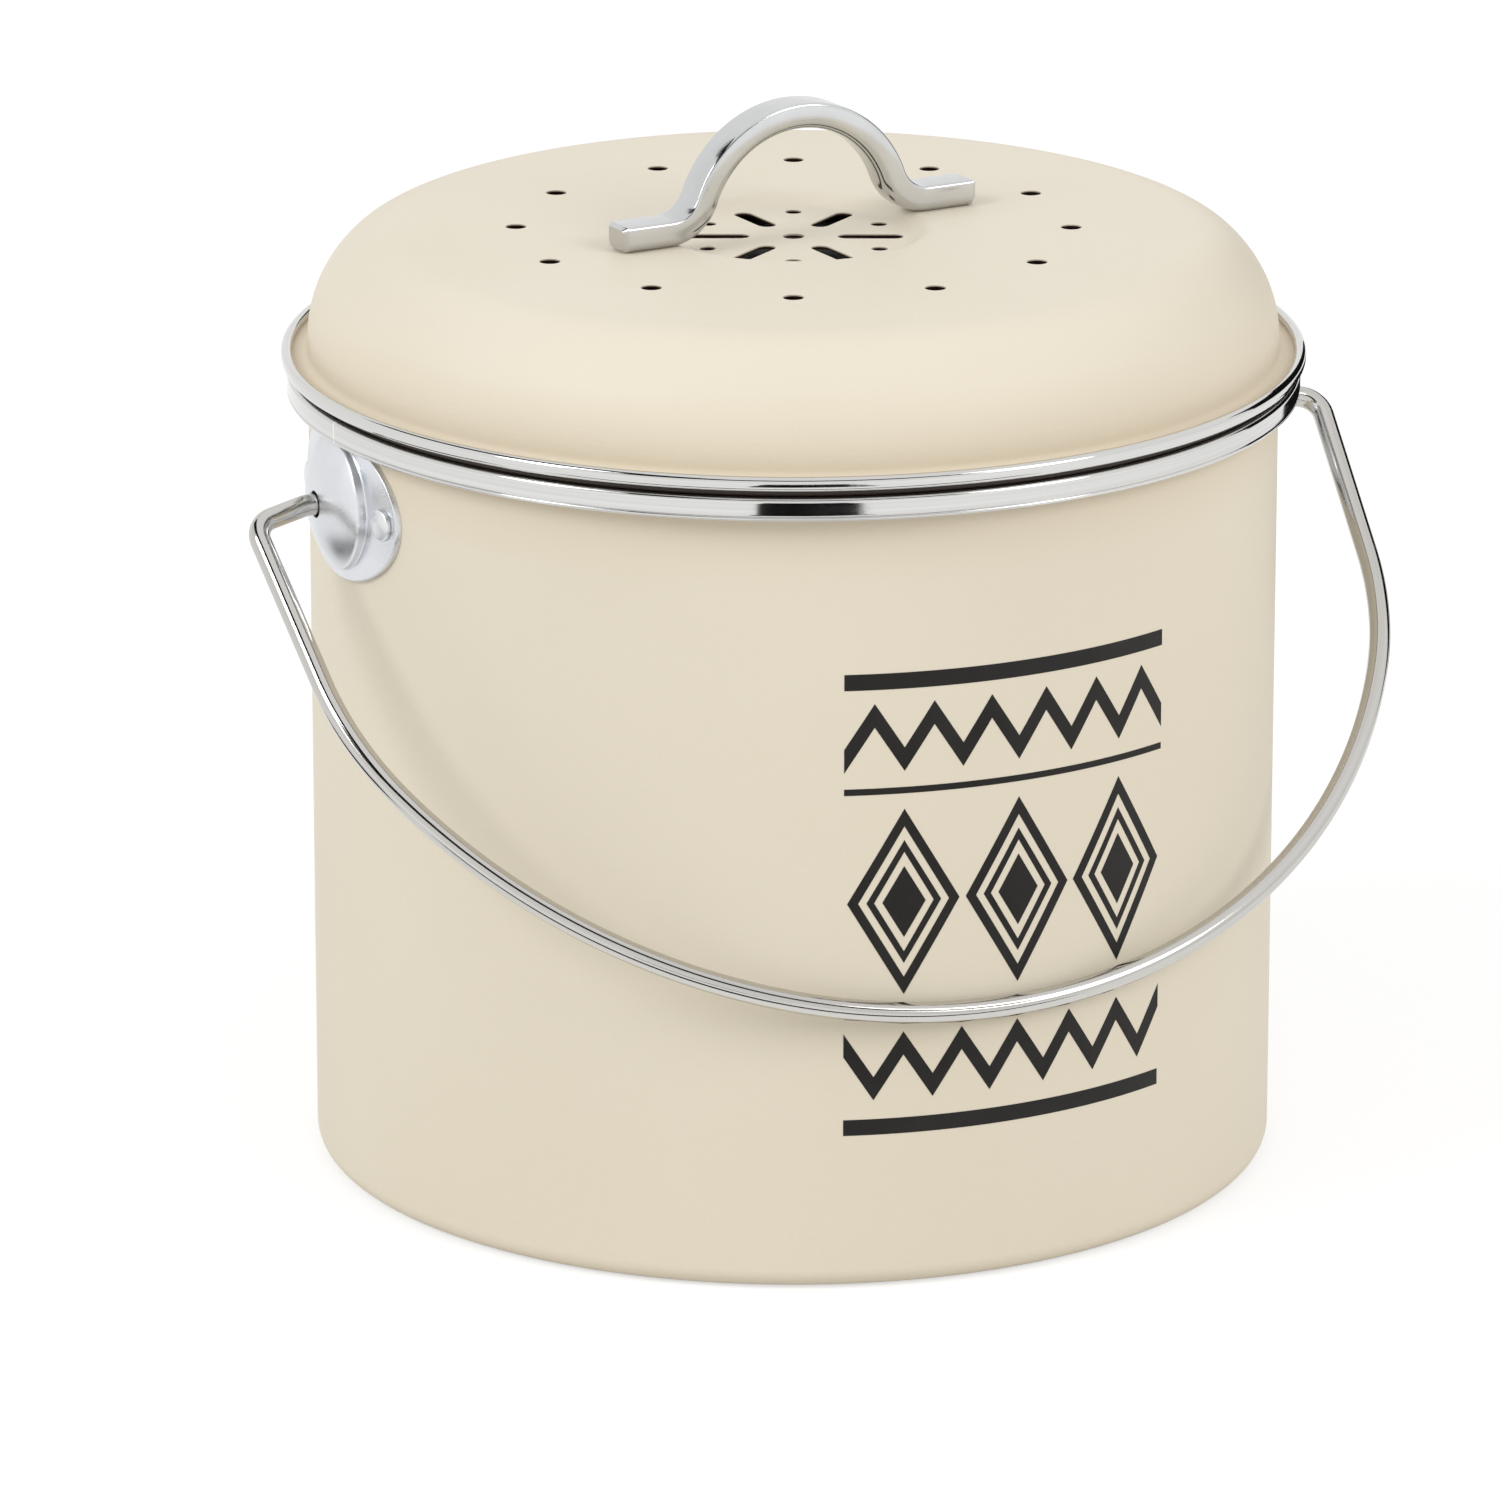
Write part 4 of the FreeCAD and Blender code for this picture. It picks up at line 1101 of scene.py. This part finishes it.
holder_parts = [grid(spun(profile, holder_steps)) for profile in (holder_wall, *hub_faces)]
for count, r_in, hole_ring, r_out in hole_rings:
    cell_edge = wedge(count, r_in, r_out, holder_steps // count)
    cell = holed_cell(cell_edge, hole_ring, hole_ring, big_hole_r, pad_low, holder_floor, land=1.0)
    holder_parts += ring_of_cells(cell, (2 * np.arange(count) + 1) * np.pi / count)

lug_half_t = 1.0
lug_soft = 0.4
lug_root = 0.4
lug_swing = (-5, -5, -4.7, -3, 0, 3, 4.7, 5, 5)
lug_size = (0, 0.8, 1, 1, 1, 1, 1, 0.8, 0)


def lug_points(angle):
    """A lug: a soft bar carried along a short arc of the holder's wall, with closed ends."""
    section = bar_section(lug_reach / 2 + lug_root, -lug_half_t, lug_half_t, lug_soft, lug_soft)
    swing = np.radians(lug_swing)[:, None] + angle
    size = np.array(lug_size)[:, None]
    r = holder_r + lug_reach / 2 - lug_root + section[:, 0] * size
    z = tab_low + tab_t + lug_half_t + section[:, 1] * size
    return np.stack([r * np.cos(swing), r * np.sin(swing), z], -1)


bar_half = 22.0
bar_half_w = 1.5
bar_soft = 0.6
bar_end = 0.4
bar_mid = (holder_low + holder_floor + 0.3) / 2
bar_half_h = bar_mid - holder_low
turn_bar = bent_bar([(2 * (bar_half - bar_end), 0)], (bar_end - bar_half, bar_mid),
                    bar_section(bar_half_w, -bar_half_h, bar_half_h, bar_soft, bar_soft),
                    ((bar_end, 0.0), (bar_end, 0.86), (0.75 * bar_end, 0.95)))
holder_parts += [grid(lug_points(angle)) for angle in third_turns]
holder_parts.append(grid(turn_bar))
holder_parts = on_lid(holder_parts)
piece("filter_holder_moulded", holder_parts, dark_plastic, "filter", "dark_plastic", "filter_holder")

# %% Carbon pad
pad_r = radius_of("carbon_filter") - 0.1
pad_soft = 1.6
pad_sink = 0.35
face_steps = np.linspace(0, pad_r - pad_soft, 30)
pad_profile = outline(
    np.stack([face_steps, 0 * face_steps + pad_low], -1),
    corner(pad_r, pad_low, pad_soft, -90, 0, 6),
    corner(pad_r, pad_high, pad_soft, 0, 90, 6),
    np.stack([face_steps[::-1], 0 * face_steps + pad_high], -1),
    hold=5.0,
)


def settled(points):
    """Felt gives a little: both faces sink by a slow wave towards the middle of the pad."""
    x, y, z = np.moveaxis(points, -1, 0)
    wave = 0.5 + 0.25 * np.sin(0.13 * x + 0.05 * y) + 0.25 * np.sin(0.11 * y - 0.07 * x + 1.0)
    middle = (pad_low + pad_high) / 2
    return np.stack([x, y, z + pad_sink * wave * (middle - z) / (pad_high - middle)], -1)


felt = grid(settled(spun(pad_profile, 180)))
pad = piece("carbon_pad", [felt], carbon_felt, "filter", "carbon_felt", "carbon_filter", crisp=60)

# %% [markdown]
# ## Print on the front
# The front carries a plain black block print: nested diamonds between zigzags and bars. Each shape lies
# between two closed curves on the unrolled wall, and is wrapped on it as a thin film with a front, a back
# and closed edges.

# %% Front print
print_middle = 4.5
print_half = 33.0
film_out = 0.05
film_in = 0.012
bold = 3.0
fine = 1.2
zigzag_t = 4.4
zigzag_swing = 4.2
zigzag_count = 6
diamond_z = 73.5
diamond_places = (-22.0, 0.0, 22.0)
diamond_frames = (((10.4, 17.5), (8.4, 14.2)), ((6.9, 11.6), (5.5, 9.4)), ((4.0, 6.7), (0.0, 0.0)))


def film(shape_edge, inner, hollow_shape, rows=6):
    """Wrap the band between two closed curves (arc, height) on the wall: out over its front, back behind."""
    share = np.linspace(0, 1, rows)[:, None, None]
    flat = inner + (shape_edge - inner) * share
    flat = np.concatenate([flat, flat[::-1]])
    r = pail_r + np.repeat([film_out, film_in], rows)[:, None]
    angle = (flat[..., 0] + print_middle) / pail_r
    return grid(np.stack([r * np.sin(angle), -r * np.cos(angle), flat[..., 1]], -1), hollow_shape)


def diamond(middle, half_w, half_h, steps=10):
    """A closed diamond with the same number of points along each side."""
    corners = np.array([(half_w, 0.0), (0.0, half_h), (-half_w, 0.0), (0.0, -half_h)])
    corners = corners + np.array([middle, diamond_z])
    t = np.linspace(0, 1, steps, endpoint=False)[:, None]
    return (corners[:, None] + (np.roll(corners, -1, axis=0) - corners)[:, None] * t).reshape(-1, 2)


def stroke(place, height, thickness):
    """A stroke of upright thickness along a line of points: out above the line and back below it."""
    spine = np.stack([place, height + 0 * place], -1)
    lift = np.array([0, thickness / 2])
    edge = np.concatenate([spine + lift, spine[::-1] - lift])
    return film(edge, np.concatenate([spine, spine[::-1]]), False)


def bar(height, thickness):
    return stroke(np.linspace(-print_half, print_half, 61), height, thickness)


def zigzag(height, swing):
    """A triangle wave along the wall."""
    place = np.linspace(-print_half, print_half, zigzag_count * 16 + 1)
    phase = (place / print_half + 1) * zigzag_count / 2
    wave = 4 * np.abs(phase - np.floor(phase + 0.5)) - 1
    return stroke(place, height + swing * wave, zigzag_t)


print_parts = [bar(115.0, bold), zigzag(104.5, zigzag_swing), bar(94.5, fine)]
for middle in diamond_places:
    for outer, inner in diamond_frames:
        print_parts.append(film(diamond(middle, *outer), diamond(middle, *inner), any(inner)))
print_parts += [bar(52.5, fine), zigzag(42.5, -zigzag_swing), bar(31.0, bold)]
piece("front_print", print_parts, print_ink, "pail", None)

# %% [markdown]
# ## Studio
# The bin stands on a plain white sheet in soft light from all round, with two large lamps in front. The
# sheet keeps the shadow: rays from the camera or off metal see it nearly white, and the light that bounces
# off it sees a normal white floor. Bright metal in an all white room looks like plaster, so a few dark
# cards stand where a photographer would put them. Two more lie on the floor close to the bin as painted
# shade: they stand for the floor's shade next to the pail, as the wire and the ears reflect it. Only mirrors
# see them, and they draw the metal's edges.

# %% Floor and cards
camera_turn = np.radians(-24.0)
to_camera = np.array([np.sin(camera_turn), -np.cos(camera_turn), 0])
to_right = np.array([np.cos(camera_turn), np.sin(camera_turn), 0])
upward = np.array([0, 0, 1])
white = (1, 1, 1, 1)


def flat_card(name, middle, along, up, finish):
    """A rectangle about a middle point, from its two half sides."""
    corners = [middle - along - up, middle + along - up, middle + along + up, middle - along + up]
    mesh = bpy.data.meshes.new(name)
    mesh.from_pydata(np.array(corners).tolist(), [], [(0, 1, 2, 3)])
    mesh.materials.append(finish)
    made = add_object(name, mesh)
    return made


def seen_directly(tree):
    """1 for rays from the camera, off metal or through glass, and 0 for the others."""
    ray = add_node(tree, "LightPath").outputs
    mirror = maths(tree, "MAXIMUM", ray["Is Camera Ray"], ray["Is Glossy Ray"])
    return maths(tree, "MAXIMUM", mirror, ray["Is Transmission Ray"])


def make_floor_sheet():
    finish = bpy.data.materials.new("floor_sheet")
    finish.use_nodes = True
    tree = finish.node_tree
    tree.nodes.clear()
    plain = add_node(tree, "BsdfDiffuse", {"Color": (0.70, 0.675, 0.63, 1)}).outputs[0]
    thin = add_node(tree, "BsdfDiffuse", {"Color": (0.45, 0.45, 0.45, 1)}).outputs[0]
    glow = add_node(tree, "Emission", {"Color": white, "Strength": 0.62}).outputs[0]
    bright = add_node(tree, "AddShader", {0: thin, 1: glow}).outputs[0]
    shown = add_node(tree, "MixShader", {0: seen_directly(tree), 1: plain, 2: bright}).outputs[0]
    add_node(tree, "OutputMaterial", {"Surface": shown})
    return finish


floor_half = 4
floor_gap = 0.0002
flat_card("floor", -floor_gap * upward, np.array([floor_half, 0, 0]), np.array([0, floor_half, 0]),
          make_floor_sheet())
card_black = (0.008, 0.008, 0.008, 1)
card_finish = new_finish("dark_card", {"Base Color": card_black, "Specular IOR Level": 0.0})[0]


def dark_card(name, middle, along, up):
    """A dark card that is hidden from everything except mirrors."""
    card = flat_card(name, middle, along, up, card_finish)
    card.visible_camera = False
    card.visible_diffuse = False
    card.visible_transmission = False
    card.visible_shadow = False


def hung_card(name, azimuth, elevation, half_w, half_h, away=1.5):
    """A card that faces the bin from a direction: azimuth from the camera to the right, and elevation."""
    azimuth, elevation = np.radians([azimuth, elevation])
    level = to_camera * np.cos(azimuth) + to_right * np.sin(azimuth)
    across = to_right * np.cos(azimuth) - to_camera * np.sin(azimuth)
    middle = (level * np.cos(elevation) + upward * np.sin(elevation)) * away
    tilted = upward * np.cos(elevation) - level * np.sin(elevation)
    dark_card(name, middle, across * half_w, tilted * half_h)


def laid_card(name, forward, right, half_w, half_d, lift=0.004):
    """A card that lies on the floor, placed from the bin towards the camera and to the right."""
    middle = to_camera * forward + to_right * right + upward * lift
    dark_card(name, middle, to_right * half_w, to_camera * half_d)


hung_card("card_brow", azimuth=0, elevation=44, half_w=1.5, half_h=0.2)
hung_card("card_left", azimuth=-72, elevation=57, half_w=1.3, half_h=0.22)
hung_card("card_back", azimuth=140, elevation=14, half_w=0.6, half_h=0.45)
laid_card("card_front", forward=0.62, right=0.035, half_w=0.112, half_d=0.15)
# Painted shade of the floor just in front of the bin, seen only in mirrors.
laid_card("floor_shade_card_near", forward=0.19, right=0.0, half_w=0.22, half_d=0.025)
laid_card("card_side", forward=-0.45, right=0.22, half_w=0.15, half_d=0.14)
# Painted shade of the floor beside the left ear, seen only in mirrors.
laid_card("floor_shade_card_ear", forward=0.02, right=-0.24, half_w=0.035, half_d=0.09)

# %% [markdown]
# ## Camera and light
# The camera stands where the photograph was taken from: a long lens, a little above the bin and to the left
# of its front. It turns slightly so that the bin sits right of the middle of the picture.

# %% Camera
camera_away = 1.828
camera_up = 0.643
camera_pitch = np.radians(17.27)
camera_yaw = np.radians(0.2517)
photo_px = 1500
focal_px = 10196

camera = add_object("camera", bpy.data.cameras.new("camera"))
camera.data.sensor_width = 36.0
camera.data.lens = focal_px / photo_px * camera.data.sensor_width
camera.location = to_camera * camera_away + upward * camera_up
camera.rotation_euler = (np.pi / 2 - camera_pitch, 0, camera_turn + camera_yaw)
bpy.context.scene.camera = camera

# %% Lamps and world
bin_middle = np.array([0, 0, 0.09])
lamp_away = 1.1
lamp_size = 1.2


def soft_lamp(name, right, up, watts, colour):
    """A round lamp in front of the bin, aimed at its middle."""
    lamp = bpy.data.lights.new(name, "AREA")
    lamp.shape = "DISK"
    lamp.size = lamp_size
    lamp.energy = watts
    lamp.color = colour
    made = add_object(name, lamp)
    place = to_camera * lamp_away + to_right * right + upward * up
    aim = bin_middle - place
    made.location = place
    made.rotation_euler = (np.arctan2(np.hypot(aim[0], aim[1]), -aim[2]), 0, np.arctan2(-aim[0], aim[1]))


soft_lamp("left_lamp", right=-1.7, up=1.5, watts=19.5, colour=(0.95, 0.98, 1))
soft_lamp("right_lamp", right=1.6, up=1.3, watts=13.5, colour=(1, 1, 1))

world = bpy.data.worlds.new("studio")
world.use_nodes = True
bpy.context.scene.world = world
sky = world.node_tree
sky.nodes.clear()
bounced = add_node(sky, "Background", {"Color": white, "Strength": 0.72}).outputs[0]
shown = add_node(sky, "Background", {"Color": white, "Strength": 1.0}).outputs[0]
tent = add_node(sky, "MixShader", {0: seen_directly(sky), 1: bounced, 2: shown}).outputs[0]
add_node(sky, "OutputWorld", {"Surface": tent})
bpy.context.scene.view_settings.view_transform = "Standard"
